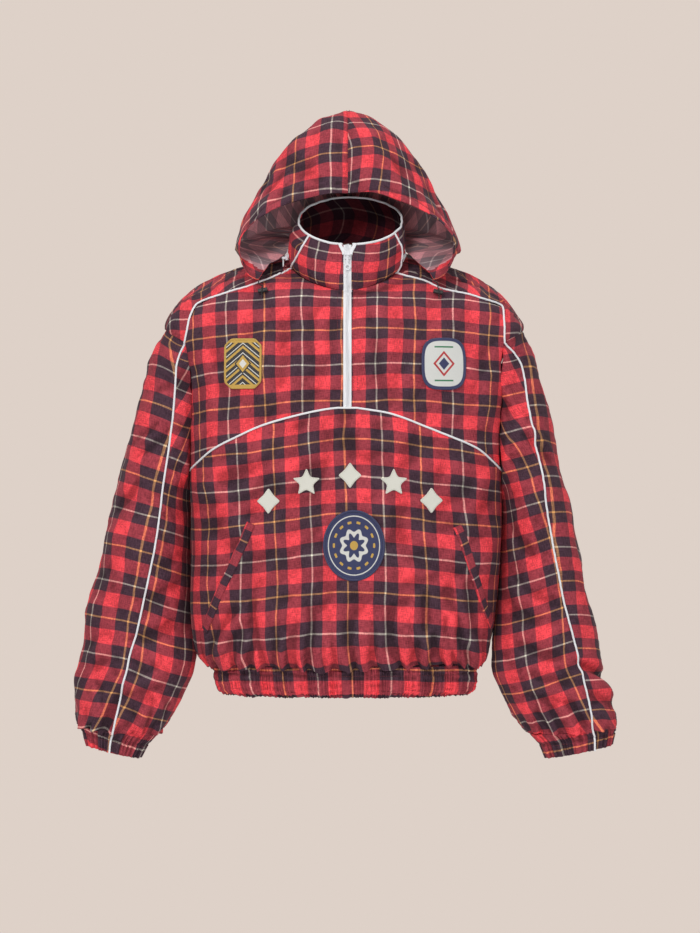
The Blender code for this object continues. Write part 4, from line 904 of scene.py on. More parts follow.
def sweep(path, normals, profile, ends="flat"):
    """Verts, faces and places of a closed profile carried along a path.  The profile holds
    (sideways, outwards) offsets; round ends close in by steps."""
    path, normals = np.asarray(path, float), unit(np.asarray(normals, float))
    ahead = unit(np.gradient(path, axis=0))
    side = unit(np.cross(ahead, normals))
    out = unit(np.cross(side, ahead))
    profile = np.asarray(profile, float)
    shares = np.ones(len(path))
    if ends == "round":
        reach = np.abs(profile).max()
        out_by = [reach * (1 - step) - reach * END_STEPS[0] for step in END_STEPS]
        low = [path[0] - ahead[0] * step for step in out_by]
        high = [path[-1] + ahead[-1] * step for step in out_by[::-1]]
        path = np.concatenate([low, path, high])
        side = np.concatenate([[side[0]] * 3, side, [side[-1]] * 3])
        out = np.concatenate([[out[0]] * 3, out, [out[-1]] * 3])
        shares = np.concatenate([END_WIDTHS, shares, END_WIDTHS[::-1]])
    rings = path[:, None] + shares[:, None, None] * (side[:, None] * profile[None, :, :1]
                                                     + out[:, None] * profile[None, :, 1:])
    count, sides = rings.shape[:2]
    ids = np.arange(count * sides).reshape(count, sides)
    after = np.roll(ids, -1, 1)
    faces = np.stack([ids[:-1], after[:-1], after[1:], ids[1:]], -1).reshape(-1, 4)
    along, girth = run(path), np.linspace(0, 1, sides + 1)
    ring, row = np.meshgrid(np.arange(sides), np.arange(count - 1))
    uv = np.stack([np.stack([girth[ring + right], along[row + above]], -1)
                   for right, above in ((0, 0), (1, 0), (1, 1), (0, 1))], 2).reshape(-1, 4, 2)
    verts = rings.reshape(-1, 3)
    tips = np.stack([rings[0].mean(0), rings[-1].mean(0)])
    first, last = len(verts), len(verts) + 1
    caps = [np.stack([after[0], ids[0], np.full(sides, first), np.full(sides, first)], -1),
            np.stack([ids[-1], after[-1], np.full(sides, last), np.full(sides, last)], -1)]
    faces = np.concatenate([faces, *caps])
    uv = np.concatenate([uv, np.zeros((2 * sides, 4, 2))])
    verts = np.concatenate([verts, tips])
    middle = verts[faces[0]].mean(0) - path[0]
    normal = np.cross(verts[faces[0][2]] - verts[faces[0][0]], verts[faces[0][3]] - verts[faces[0][1]])
    if (normal * middle).sum() < 0:
        faces[:, [1, 3]] = faces[:, [3, 1]]
        wrong = len(faces) - 2 * sides
        faces[wrong:] = faces[wrong:][:, [0, 3, 1, 1]]
    return verts, faces, uv


def circle(radius, sides=10, flat=1.0):
    turns = np.linspace(0, 2 * pi, sides, endpoint=False)
    return np.stack([radius * np.cos(turns), radius * flat * np.sin(turns)], -1)


def band_profile(width, wall, edge=0.35, below=0.0):
    """Low flat profile with softly rolled edges."""
    half, roll = width / 2, wall * edge
    return np.array([(-half, below), (-half, wall - roll), (-half + roll, wall), (0, wall * 1.06),
                     (half - roll, wall), (half, wall - roll), (half, below)])


# ---------------------------------------------------------------- grids of places

SAME_STEP = (90.0, 4.0)                  # degrees and levels that count as the same length


def even(places, count):
    """Places spaced evenly by length along a smooth line through a few."""
    places = np.asarray(places, float)
    steps = np.hypot(*(np.diff(places, axis=0) / SAME_STEP).T)
    knots = np.concatenate([[0], np.cumsum(np.maximum(steps, 1e-6))])
    return Track(knots, places)(np.linspace(0, knots[-1], count))


def even_view(places, count):
    places = np.asarray(places, float)
    knots = np.concatenate([[0], np.cumsum(np.hypot(*np.diff(places, axis=0).T))])
    return Track(knots, places)(np.linspace(0, knots[-1], count))


def coons(bottom, top, left, right):
    """Grid between four lines whose ends meet at the corners."""
    w = np.linspace(0, 1, len(left))[:, None, None]
    u = np.linspace(0, 1, len(bottom))[None, :, None]
    corners = ((1 - u) * (1 - w) * bottom[0] + u * (1 - w) * bottom[-1]
               + (1 - u) * w * top[0] + u * w * top[-1])
    return (1 - w) * bottom[None] + w * top[None] + (1 - u) * left[:, None] + u * right[:, None] - corners


def as_seen(places):
    points = trunk(places[..., 0], places[..., 1])
    return np.stack([points[..., 0], points[..., 2]], -1)


def armhole_line(side, first, last, count):
    return np.stack(armhole_place(side, np.linspace(first, last, count)), -1)


def front_places(points):
    points = np.asarray(points, float)
    return np.stack(front_place(points[:, 0], points[:, 1]), -1)


def shoulder_seam(side):
    """Places from the armhole along the shoulder seam to the neck."""
    start = np.stack(armhole_place(side, np.array(float(YOKE_TURN))))
    return np.concatenate([[start], front_places(YOKE[side]), [(NECK_SEAM[side], float(TRUNK_TOP))]])


def arch_seam(side):
    """Places from the armhole along the chest arch to the zip."""
    start = np.stack(armhole_place(side, np.array(float(ARCH_TURN))))
    end = front_places([(ZIP_X + side * ZIP_HALF, ARCH_TOP)])
    return np.concatenate([[start], front_places(ARCH[side]), end])


def zip_places(side, share, count):
    start = front_place(ZIP_X + side * ZIP_HALF, ARCH_TOP)[1]
    levels = np.linspace(float(start), TRUNK_TOP, count)
    x = np.full(count, ZIP_X + side * ZIP_HALF * share)
    return np.stack([trunk.bearing_at(x, levels), levels], -1)


def edge_distance(points, sides="blrt"):
    """Distance of each point of a grid from its border, along rows and columns."""
    across = np.linalg.norm(np.diff(points, axis=1), axis=-1)
    up = np.linalg.norm(np.diff(points, axis=0), axis=-1)
    x = np.concatenate([np.zeros((len(points), 1)), np.cumsum(across, 1)], 1)
    y = np.concatenate([np.zeros((1, points.shape[1])), np.cumsum(up, 0)])
    found = np.full(points.shape[:2], 1.0)
    for key, distance in (("l", x), ("r", x[:, -1:] - x), ("b", y), ("t", y[-1:] - y)):
        if key in sides:
            found = np.minimum(found, distance)
    return found


def panel(skin, grid, uv, sides="blrt", dip=0.0007):
    """Points, normals and cloth places of one grid, sunk a little at its seams."""
    u, v = grid[..., 0], grid[..., 1]
    base, _ = skin(u, v)
    distance = edge_distance(base, sides)
    across = u * 0.004 if skin.step == RING_STEP else u
    pucker = 0.0003 * ripple(across, v * 0.03, 0.02, 7, 4)
    lift = -dip * bump(distance, 0.0030) + (0.0003 + pucker) * bump(distance - 0.0065, 0.0045)
    points, normals = skin(u, v, lift)
    return points, normals, uv


# How each panel was cut from the check: how far its soft terms reach, then the shares of the
# terms in laid(), across and along. The shares come from a fit that was made outside this script.
LAY = {
    "front_lower": (0.22,
        (-0.0120, 0.883, 0.063, 0.164, 0.061, -0.657, -0.065, -0.445, -0.003, 0.197),
        (0.0015, 0.042, 0.897, -0.042, -0.029, 0.249, 0.222, -0.016, 0.001, 0.238)),
    "front_yoke_right": (0.22,
        (0.0113, 0.984, -0.007, 0.035, -0.010, -0.056, -0.013, 0.001, -0.076, -0.104),
        (0.0392, -0.171, 1.019, 0.194, 0.016, 0.019, 0.014, -0.132, 0.034, 0.050)),
    "front_yoke_left": (0.22,
        (0.0133, 0.983, -0.006, 0.068, 0.008, -0.055, -0.015, -0.345, 0.040, -0.155),
        (0.0404, 0.127, 1.025, -0.197, -0.008, 0.014, 0.003, 0.103, 0, 0.052)),
    "sleeve_back_right": (0.09,
        (-0.0097, 0.955, -0.081, -0.160, 0.173, 0.011, -0.181, -0.084, -0.364, 0.282),
        (-0.1020, -0.129, 1.033, 0.187, -0.158, 0.007, -0.031, 0.006, 0.023, -0.294)),
    "sleeve_front_right": (0.09,
        (0.0120, 1.000, -0.087, -0.219, -0.020, -0.006, -0.132, 0.024, -0.059, 0.036),
        (-0.1172, -0.041, 1.012, 0.317, 0.193, 0.029, -0.103, -0.034, -0.079, -0.331)),
    "sleeve_front_left": (0.09,
        (-0.0216, 0.978, -0.069, -0.028, 0.141, 0.123, 0.095, -0.319, -0.411, -0.064),
        (-0.0844, -0.090, 1.053, 0.286, 0.196, 0.008, 0.130, 0.056, -0.125, -0.220)),
    "sleeve_back_left": (0.09,
        (-0.0144, 0.758, -0.034, -0.137, 0.080, -0.038, -0.130, -0.035, -0.306, 0.088),
        (-0.1437, -0.191, 1.136, 0.017, -0.036, 0.001, 0.209, -0.003, 0.103, -0.057)),
    "hood_left": (0.25,
        (0.0434, 1.029, 0.102, -0.164, 0.490, 0.260, -0.605, 1.123, -0.730, 0.291),
        (-0.0543, -0.898, 1.181, 1.026, -0.090, -0.353, 0.178, -1.501, 0.160, 0.094)),
    "hood_right": (0.25,
        (0.0523, 1.013, 0.059, -0.167, 0.635, 0.138, -0.118, 0.533, -0.629, 0.396),
        (-0.0303, 0.008, 0.963, -0.025, -0.085, 0.010, 0.435, 0.013, 0.460, -0.021)),
    "collar_front_right": (0.1,
        (-0.0065, 1.000, 0, 0, 0, 0, 0, 0, 0, 0),
        (-0.0139, -0.055, 1.228, 0, -0.048, 0.009, 0.034, -0.034, -0.040, 0.046)),
    "collar_front_left": (0.1,
        (-0.0644, 0.999, 0.052, -0.127, 0.008, -0.002, 0.009, -0.006, 0.008, 0.007),
        (-0.0208, -0.120, 1.312, 0.297, 0.079, -0.009, 0.045, -0.057, 0.065, 0.078)),
}


def laid(name, u, v):
    """Places on the check from lengths on the form."""
    if name not in LAY:
        return np.stack([u, v], -1)
    reach, *rows = LAY[name]
    t = reach * np.tanh(u / reach)
    terms = np.stack([np.ones_like(u), u, v, t, t * v, t * t, v * v, t ** 3 / reach,
                      t * v * v / reach, t * t * v / reach], -1)
    return np.stack([(terms * np.array(row)).sum(-1) for row in rows], -1)


# ---------------------------------------------------------------- cloth pieces

def yoke_grid(side, rows, columns):
    seam, arch = shoulder_seam(side), arch_seam(side)
    views = [as_seen(line) for line in (arch, np.concatenate([seam[1:-1], [seam[-1]]]))]
    zip_edge = trunk.bearing_at(np.array(ZIP_X + side * ZIP_HALF), np.array(float(TRUNK_TOP)))
    neck = np.linspace(NECK_SEAM[side], float(zip_edge), 8)
    neck_view = as_seen(np.stack([neck, np.full(8, float(TRUNK_TOP))], -1))
    top = even_view(np.concatenate([views[1], neck_view[1:]]), columns)
    bottom = even_view(views[0], columns)
    arm = armhole_line(side, ARCH_TURN, YOKE_TURN, 16)
    left = even_view(as_seen(np.concatenate([arm, seam[1:2]])), rows)
    right = even_view(as_seen(zip_places(side, 1.0, 24)), rows)
    view = coons(bottom, top, left, right)
    return np.stack(front_place(view[..., 0], view[..., 1]), -1)


def front_lower_grid(rows, columns):
    arm = {side: armhole_line(side, 0, ARCH_TURN, 7) for side in (-1, 1)}
    top = np.concatenate([arm[-1][:-1], arch_seam(-1), arch_seam(1)[::-1], arm[1][::-1][1:]])
    top = even(top, columns)
    bottom = np.stack([np.linspace(-90, 90, columns), np.zeros(columns)], -1)
    levels = np.linspace(0, 5, rows)
    return coons(bottom, top, *(np.stack([np.full(rows, b), levels], -1) for b in (-90.0, 90.0)))


def even_rows(line, count):
    """Trunk places spaced evenly by length along a line of many."""
    knots = run(trunk(line[:, 0], line[:, 1]), 1e-6)
    at = np.linspace(0, knots[-1], count)
    return np.stack([np.interp(at, knots, line[:, k]) for k in (0, 1)], -1)


def ridge_line(side, count=30):
    """Top of the shoulder, from the armhole to the neck, on the trunk's side."""
    start = np.stack(armhole_place(1, np.array(180.0)))
    line = np.linspace(start, (90.0, float(TRUNK_TOP)), 120)
    return even_rows(line, count) * (side, 1)


def back_grid(low_rows, ridge_rows, columns):
    """Back between the side seams, the armholes, the ridges and the neck."""
    low = np.stack([np.full(60, 90.0), np.linspace(0, 5, 60)], -1)
    arm = armhole_line(1, 360, 180, 80)
    beside = even_rows(np.concatenate([low, arm[1:]]), low_rows)
    left = np.concatenate([beside, ridge_line(1, ridge_rows)[1:]])
    right = left * (-1, 1) + (360, 0)
    bearings = np.linspace(90, 270, columns)
    grid = coons(np.stack([bearings, np.zeros(columns)], -1),
                 np.stack([bearings, np.full(columns, float(TRUNK_TOP))], -1), left, right)
    knots = Lengths.summed(trunk(grid[..., 0], grid[..., 1]), 0)
    knots = knots / knots[-1]
    for column in range(1, columns - 1):
        for k in (0, 1):
            grid[:, column, k] = np.interp(knots[:, 0], knots[:, column], grid[:, column, k])
    return grid


def shoulder_grid(side, rows, columns):
    """The back's strip in front of the ridge, down to the shoulder seam."""
    seam, ridge = shoulder_seam(side), ridge_line(side, columns)
    bottom = np.stack(front_place(*even_view(as_seen(seam), columns).T), -1)
    bottom[0], bottom[-1] = seam[0], seam[-1]
    left = armhole_line(side, YOKE_TURN, TOP_TURN, rows)
    right = np.stack([np.linspace(NECK_SEAM[side], side * 90.0, rows), np.full(rows, float(TRUNK_TOP))], -1)
    return coons(bottom, ridge, left, right)


def dense_low(grid, near, step):
    """Rows of a fine grid: all of those near its lower seam, and one in a few above."""
    rows = np.concatenate([np.arange(near), np.arange(near, len(grid) - 1, step), [len(grid) - 1]])
    return grid[rows]


def sleeve_grid(side, front, rows, columns):
    levels = np.concatenate([np.linspace(0, 0.5, 6)[:-1],
                             np.linspace(0.5, SLEEVE_END - 0.45, rows - 30)[:-1],
                             np.linspace(SLEEVE_END - 0.45, SLEEVE_END, 26)])
    at = PIPING_TURN[side](levels)[:, None]
    share = np.linspace(0, 1, columns)[None]
    turns = share * at if front else at + share * (360 - at)
    return np.stack([turns, np.broadcast_to(levels[:, None], turns.shape)], -1)


def collar_line(side, count):
    line = Track(COLLAR_LEVELS, COLLAR_SIDE[side])
    levels = np.linspace(0, 3, count)
    return np.stack([line(levels), levels], -1)


def collar_zip(side, share, count):
    levels = np.linspace(0, 3, count)
    x = np.full(count, ZIP_X + side * ZIP_HALF * share)
    return np.stack([collar.bearing_at(x, levels), levels], -1)


def level_coons(left, right, columns):
    """Grid between two lines whose ends are joined straight across."""
    bottom, top = (np.linspace(left[end], right[end], columns) for end in (0, -1))
    return coons(bottom, top, left, right)


def collar_front_grid(side, rows, columns):
    return level_coons(collar_line(side, rows), collar_zip(side, 1.0, rows), columns)


def collar_back_grid(rows, columns):
    return level_coons(collar_line(1, rows), collar_line(-1, rows) + (360, 0), columns)


def hood_grid(rows, columns):
    share, rise = np.meshgrid(np.linspace(0, 1, columns), np.linspace(0, 1, rows))
    return np.stack([share, rise], -1)


def check_places(name, lengths, grid, **more):
    return laid(name, *lengths(grid[..., 0], grid[..., 1], **more))


def casing_test(side):
    """Whether places of the hood's inside lie on the casing turned in along its opening."""
    edge = hood(side)(np.zeros(90), np.linspace(0, 1, 90))

    def test(middles):
        gap = np.linalg.norm(middles[:, None] - edge[None], axis=-1).min(1)
        return gap < 0.0145 + 0.012 * smooth((0.09 - middles[:, 2]) / 0.05)
    return test


def make_cloth(name, patches, wall, materials, **more):
    """One cloth piece: its shell, with its cloth map, and its materials."""
    piece = make_object(name + "_cloth", shell(name, patches, wall, **more), name, materials)
    return piece


def make_fronts(materials):
    """The chest yokes beside the zip and the front below the arch."""
    wall = chosen().cloth
    for side, word in SIDES:
        name = f"front_yoke_{word}"
        grid = yoke_grid(side, 84, 86)
        uv = check_places(name, trunk_lengths, grid, back=False)
        make_cloth(name, [panel(trunk_skin, grid, uv)], wall, [materials["check"]])
    grid = dense_low(front_lower_grid(520, 250), 34, 4)
    uv = check_places("front_lower", trunk_lengths, grid, back=False)
    make_cloth("front_lower", [panel(trunk_skin, grid, uv)], wall, [materials["check"]])


def make_back(materials):
    """The back, which wraps over both shoulders to their seams."""
    low = 463
    grid = back_grid(low, 44, 130)
    grid = np.concatenate([dense_low(grid[:low], 34, 4), grid[low:]])
    uv = check_places("back_panel", trunk_lengths, grid, back=True)
    patches = [panel(trunk_skin, grid, uv, "blr", 0)]
    for side, _ in SIDES:
        grid = shoulder_grid(side, 14, 44)
        uv = calmed(check_places("back_panel", trunk_lengths, grid, back=True), 10)
        patches.append(panel(trunk_skin, grid, uv, "bl", 0))
    # The back's reverse is coloured with painted shade.
    make_cloth("back_panel", patches, chosen().cloth, [materials["check"], materials["painted_shade"]], inner_slot=1)


def ring_patch(skin, turns, levels, along, fall):
    """One patch all round a gathered tube, closed on itself."""
    grid = np.stack(np.meshgrid(turns, levels), -1)
    points, normals = skin(grid[..., 0], grid[..., 1])
    points[:, -1], normals[:, -1] = points[:, 0], normals[:, 0]
    return points, normals, along(grid[..., 0]) + np.stack([np.zeros(grid.shape[:2]), fall(grid)], -1)


def make_band(materials):
    """The hem band, double cloth gathered over elastic."""
    def along(turn):
        return laid("front_lower", trunk_lengths.low(turn, np.zeros(turn.shape))[0], np.zeros(turn.shape))
    patch = ring_patch(band_skin, np.linspace(-180, 180, 1100), np.linspace(0, 3, 16), along,
                       lambda grid: band_lengths(grid[..., 0], grid[..., 1])[1])
    make_cloth("hem_band", [patch], chosen().band, [materials["check"]])


def make_sleeves(materials):
    """Both sleeves, each a front and a back piece, and their gathered cuffs."""
    for side, word in SIDES:
        for front, part in ((True, "front"), (False, "back")):
            name = f"sleeve_{part}_{word}"
            grid = sleeve_grid(side, front, 150, 70 if front else 80)
            uv = check_places(name, sleeve_lengths[side], grid)
            make_cloth(name, [panel(sleeve_skin[side], grid, uv)], chosen().cloth, [materials["check"]])

        def along(turn):
            end = np.full(turn.shape, float(SLEEVE_END))
            return laid(f"sleeve_front_{word}", *sleeve_lengths[side](turn, end))
        patch = ring_patch(cuff_skin[side], np.linspace(0, 360, 300), np.linspace(0, 2, 20), along,
                           lambda grid: cuff_lengths[side](grid[..., 0], grid[..., 1])[1])
        make_cloth(f"cuff_{word}", [patch], chosen().band, [materials["check"]])


def make_collar(materials):
    """The stand collar's two fronts and its back."""
    for side, word in SIDES:
        name = f"collar_front_{word}"
        grid = collar_front_grid(side, 28, 32)
        uv = check_places(name, collar_lengths, grid)
        make_cloth(name, [panel(collar_skin, grid, uv, "blt")], chosen().cloth, [materials["check"]])
    grid = collar_back_grid(28, 150)
    uv = check_places("collar_back", collar_lengths, grid)
    # The collar back's reverse is coloured with painted shade.
    make_cloth("collar_back", [panel(collar_skin, grid, uv, "blrt")], chosen().cloth,
               [materials["check"], materials["painted_shade"]], inner_slot=1)


def make_hood(materials):
    """Both halves of the hood, with the paler reverse inside, its pale tone partly painted light."""
    for side, word in SIDES:
        name = f"hood_{word}"
        grid = hood_grid(84, 104)
        uv = check_places(name, hood_lengths[side], grid)
        lengths = np.stack(hood_lengths[side](grid[..., 0], grid[..., 1]), -1)
        make_cloth(name, [(*panel(hood_skin[side], grid, uv, "blrt", 0.0014), lengths)], chosen().cloth,
                   [materials["check"], materials["reverse"]], inner_slot=1, face_slot=casing_test(side))


# ---------------------------------------------------------------- trims

def line_on(skin, places, lift=0.0):
    """Points and normals of a line of places on a skin."""
    points, normals = skin(places[:, 0], places[:, 1], lift)
    return points, normals


def shifted(points, normals, aside, up=0.0):
    """A line beside another on the same cloth."""
    ahead = unit(np.gradient(points, axis=0))
    return points + unit(np.cross(ahead, normals)) * aside + normals * up


def respaced(points, normals, step):
    """A line resampled at even steps."""
    along = run(points)
    at = np.linspace(0, along[-1], max(2, int(round(along[-1] / step)) + 1))
    points, normals = (np.stack([np.interp(at, along, table[:, k]) for k in range(3)], -1)
                       for table in (points, normals))
    return points, unit(normals)


def scatter(verts, faces, origins, axes):
    """Copies of a small shape at places, each turned to its own three axes."""
    placed = origins[:, None] + np.einsum("kj,njc->nkc", verts, axes)
    shift = (np.arange(len(origins)) * len(verts))[:, None, None]
    return placed.reshape(-1, 3), (faces[None] + shift).reshape(-1, 4)


SHAFT, TIP, TAPER = 0.56, 0.22, 0.45     # shares of a bead: its shaft, each tip, a tip's narrow end


def bead(length, width, height, sides=6):
    """Low-poly rounded bar along its first axis, modelled once for rows of its copies."""
    bpy.ops.object.select_all(action="DESELECT")
    bpy.ops.mesh.primitive_cylinder_add(vertices=sides, radius=0.5, depth=SHAFT,
                                        rotation=(0, radians(90), 0))
    piece = bpy.context.object
    bpy.ops.object.transform_apply(location=False, rotation=True, scale=False)
    for end in (-1, 1):
        bpy.ops.object.mode_set(mode="EDIT")
        bpy.ops.mesh.select_all(action="DESELECT")
        bpy.ops.object.mode_set(mode="OBJECT")
        for face in piece.data.polygons:
            face.select = face.normal.x * end > 0.9
        bpy.ops.object.mode_set(mode="EDIT")
        bpy.ops.mesh.extrude_region_move(TRANSFORM_OT_translate={"value": (TIP * end, 0, 0)})
        bpy.ops.transform.resize(value=(1, TAPER, TAPER))
        bpy.ops.mesh.poke()
        bpy.ops.object.mode_set(mode="OBJECT")
    verts = np.array([tuple(vert.co) for vert in piece.data.vertices]) * (length, width, height)
    faces = np.array([(*face.vertices, face.vertices[-1])[:4] for face in piece.data.polygons])
    mesh = piece.data
    bpy.data.objects.remove(piece)
    bpy.data.meshes.remove(mesh)
    return verts, faces


COIL_ASIDE, HALF_LOOP = 0.00145, 0.00075     # how far each half of the coil lies aside and ahead
# Length, width and height of each kind of bead
BEADS = {
    "stitch": (0.0026, 0.00055, 0.0005),
    "tooth": (0.0031, 0.00115, 0.0012),
    "hood tooth": (0.0042, 0.0011, 0.0012),
}
MODELLED = {}


def modelled(kind):
    """A stitch or a loop of a zip's coil, modelled at its first use."""
    if kind not in MODELLED:
        MODELLED[kind] = bead(*BEADS[kind])
    return MODELLED[kind]


def stitches(points, normals, pitch=None, shape=None):
    """A row of stitches along a line."""
    pitch, shape = pitch or chosen().stitch, shape or modelled("stitch")
    points, normals = respaced(points, normals, pitch)
    ahead = unit(np.gradient(points, axis=0))
    side = unit(np.cross(normals, ahead))
    axes = np.stack([ahead, side, np.cross(ahead, side)], 1)
    return scatter(*shape, points, axes)


def pipe_places():
    """Where each white piping runs: its skin and a line of places."""
    found = {}
    for side, word in SIDES:
        seam = even_view(as_seen(shoulder_seam(side)), 150)
        found[f"shoulder_piping_{word}"] = (trunk_skin, front_places(seam))
        levels = np.linspace(0.02, SLEEVE_END, 340)
        line = np.stack([PIPING_TURN[side](levels), levels], -1)
        found[f"sleeve_piping_{word}"] = (sleeve_skin[side], line)
        found[f"collar_piping_{word}"] = (collar_skin, collar_line(side, 60)[:-1])
    arches = [even_view(as_seen(arch_seam(side)), 100) for side in (-1, 1)]
    arch = even_view(np.concatenate([arches[0][:-3], arches[1][-4::-1]]), 230)
    found["arch_piping"] = (trunk_skin, front_places(arch))
    return found


def make_piping(materials):
    for name, (skin, places) in pipe_places().items():
        points, normals = line_on(skin, places, 0.0008)
        if name.startswith("sleeve"):
            side = 1 if name.endswith("left") else -1
            turn = np.full(14, float(places[-1, 0]))
            more, more_normals = cuff_skin[side](turn, np.linspace(0.35, 2.0, 14), 0.0008)
            points = np.concatenate([points[:-8], more])
            normals = np.concatenate([normals[:-8], more_normals])
        points, normals = respaced(points, normals, 0.0016)
        wobble = 0.00012 * np.sin(np.arange(len(points)) * 0.9)[:, None] * normals
        mesh = build_mesh(name, *sweep(points + wobble, normals, circle(chosen().piping, 12, 0.92), "round"))
        make_object(name + "_cord", mesh, name, [materials["piping"]])
    for side, word in SIDES:
        name = f"collar_edge_{word}"
        start = float(collar.bearing_at(np.array(ZIP_X + side * ZIP_HALF), np.array(COLLAR_TOP)))
        bearing = np.linspace(start + side * 1.0, side * 179.98, 260)
        points, normals = collar_skin(bearing, np.full(260, COLLAR_TOP), -CLOTH / 2)
        up = unit(np.array((0.0, 0.0, 1.0)) - normals * normals[:, 2:])
        points = points + up * 0.0010
        profile = [(a * 0.95, b * (1.0 if b > 0 else 1.15)) for a, b in circle(chosen().piping + 0.0001, 12)]
        mesh = build_mesh(name, *sweep(points, up, profile))
        make_object(name + "_binding", mesh, name, [materials["piping"]])


def zip_line(side, share, rows=(150, 60), lift=-0.0004):
    """Points and normals up the front opening, from the arch to the collar's top."""
    low = zip_places(side, share, rows[0])
    points, normals = trunk_skin(low[:, 0], low[:, 1], lift)
    high = collar_zip(side, share, rows[1])
    more, more_normals = collar_skin(high[:, 0], high[:, 1], lift)
    points = np.concatenate([points, more[1:]])
    normals = np.concatenate([normals, more_normals[1:]])
    for _ in range(12):
        normals[1:-1] = unit(normals[:-2] + 2 * normals[1:-1] + normals[2:])
    return points, normals


def coil(points, normals, aside, pitch=None, shift=0.0, shape=None):
    """A row of coil loops that lie across a line."""
    pitch = pitch or chosen().tooth
    points, normals = respaced(points, normals, pitch)
    ahead = unit(np.gradient(points, axis=0))
    side = unit(np.cross(ahead, normals))
    origins = points + side * aside + ahead * shift + normals * 0.0005
    axes = np.stack([side, np.cross(normals, side), normals], 1)
    return scatter(*(shape or modelled("tooth")), origins, axes)


def tape_end(side):
    """Points and normals of a tape's free end, which spreads out at the collar's top."""
    line = []
    for t in np.linspace(0, 1, 12):
        level = 2.45 + 0.62 * t
        on_collar = np.array(min(level, COLLAR_TOP))
        x = ZIP_X + side * (0.0052 + 0.0062 * smooth(t) ** 1.2)
        bearing = collar.bearing_at(np.array(x), on_collar)
        place, facing = collar_skin(bearing, on_collar, 0.0012 + 0.0004 * t)
        line.append((place + np.array((0, 0, max(0.0, level - COLLAR_TOP) * 0.028)), facing))
    return tuple(np.array([row[k] for row in line]) for k in (0, 1))


def make_front_zip(materials):
    for side, word in SIDES:
        name = f"zip_{word}"
        lines = [zip_line(side, share) for share in np.linspace(0.0, 1.12, 7)]
        points, normals = (np.stack([line[k] for line in lines], 1) for k in (0, 1))
        sink = np.array((0.0, 0.0, 0.0, 0.0, 0.0, -0.0002, -0.0006))
        points = points + normals * sink[None, :, None]
        along = np.cumsum(np.linalg.norm(np.gradient(points[:, 0], axis=0), axis=-1))
        uv = np.stack(np.broadcast_arrays(np.linspace(0, ZIP_HALF, 7)[None], along[:, None]), -1)
        tape = shell(name, [(points, normals, uv)], TAPE)
        make_object(name + "_tape", tape, name, [materials["tape"]])
        middle, facing = zip_line(1, 0.0)
        verts, faces = coil(middle, facing, side * COIL_ASIDE, shift=HALF_LOOP * (side > 0))
        teeth = build_mesh(name + "_coil", verts, faces)
        make_object(name + "_coil", teeth, name, [materials["coil"]], stands_for=False)
        end = build_mesh(name + "_end", *sweep(*tape_end(side), band_profile(0.0052, TAPE)))
        make_object(name + "_end", end, name, [materials["tape"]], stands_for=False)


def make_hood_zip(materials):
    for side, word in SIDES:
        name = f"hood_zip_{word}"
        bearing = side * np.linspace(HOOD_ZIP_START[side], 179.7, 200)
        points, normals = collar_skin(bearing, np.full(200, HOOD_ZIP_LEVEL), 0.0010)
        points, normals = respaced(points, normals, 0.0015)
        tape = build_mesh(name, *sweep(points, normals, band_profile(0.0085, TAPE)))
        make_object(name + "_tape", tape, name, [materials["tape"]])
        verts, faces = coil(points + normals * TAPE, normals, 0.0, shape=modelled("hood tooth"))
        teeth = build_mesh(name + "_coil", verts, faces)
        make_object(name + "_coil", teeth, name, [materials["coil"]], stands_for=False)


def make_welts(materials):
    for side, word in SIDES:
        name = f"pocket_welt_{word}"
        view = even_view(WELT[side], 120)
        points, normals = line_on(trunk_skin, front_places(view), 0.0004)
        along = np.cumsum(np.linalg.norm(np.gradient(points, axis=0), axis=-1))
        across = np.linspace(-0.5, 0.5, 11)
        puff = np.array((0.2, 0.75, 1.0, 0.86, 0.95, 1.0, 0.95, 0.86, 1.0, 0.75, 0.2)) * 0.0021
        side_way = unit(np.cross(unit(np.gradient(points, axis=0)), normals))
        grid = points[:, None] + side_way[:, None] * (across * WELT_WIDTH)[None, :, None] \
            + normals[:, None] * puff[None, :, None]
        ends = smooth(np.minimum(np.arange(120), np.arange(120)[::-1]) / 2.0)
        grid = grid - normals[:, None] * (0.0012 * (1 - ends))[:, None, None]
        facing = np.broadcast_to(normals[:, None], grid.shape).copy()
        uv = np.stack(np.broadcast_arrays((along - 0.030)[:, None],
                                          (across * WELT_WIDTH)[None] + 0.0122), -1)
        make_cloth(name, [(grid, facing, uv)], chosen().cloth, [materials["check"]])
        rows = [stitches(shifted(points, normals, aside, 0.0018), normals) for aside in (-0.0044, 0.0044)]
        place_threads(f"{name}_stitches", name, rows, materials)


def place_threads(name, node, rows, materials, key="thread"):
    verts, faces, start = [], [], 0
    for row_verts, row_faces in rows:
        verts.append(row_verts)
        faces.append(row_faces + start)
        start += len(row_verts)
    mesh = build_mesh(name, np.concatenate(verts), np.concatenate(faces))
    make_object(name, mesh, node, [materials[key]], stands_for=False)


# ---------------------------------------------------------------- patches and motifs

def cut_corner(half, tall, cut, count=12):
    corners = [(half, tall - cut), (half - cut, tall), (cut - half, tall), (-half, tall - cut),
               (-half, cut - tall), (cut - half, -tall), (half - cut, -tall), (half, cut - tall)]
    return outline(corners, count)


def outline(corners, count):
    """Points round a polygon with its corners a little rounded."""
    corners = np.array(corners, float)
    points = np.concatenate([np.linspace(a, b, count, endpoint=False)
                             for a, b in zip(corners, np.roll(corners, -1, 0))])
    for _ in range(2):
        points = (np.roll(points, 1, 0) + 2 * points + np.roll(points, -1, 0)) / 4
    return points


SQUARE = 3.4                             # how square the cream patch's rounded outline is


def rounded(half, tall, square=SQUARE, count=110):
    turns = np.linspace(0, 2 * pi, count, endpoint=False)
    return np.stack([half * power(np.cos(turns), 2 / square), tall * power(np.sin(turns), 2 / square)], -1)


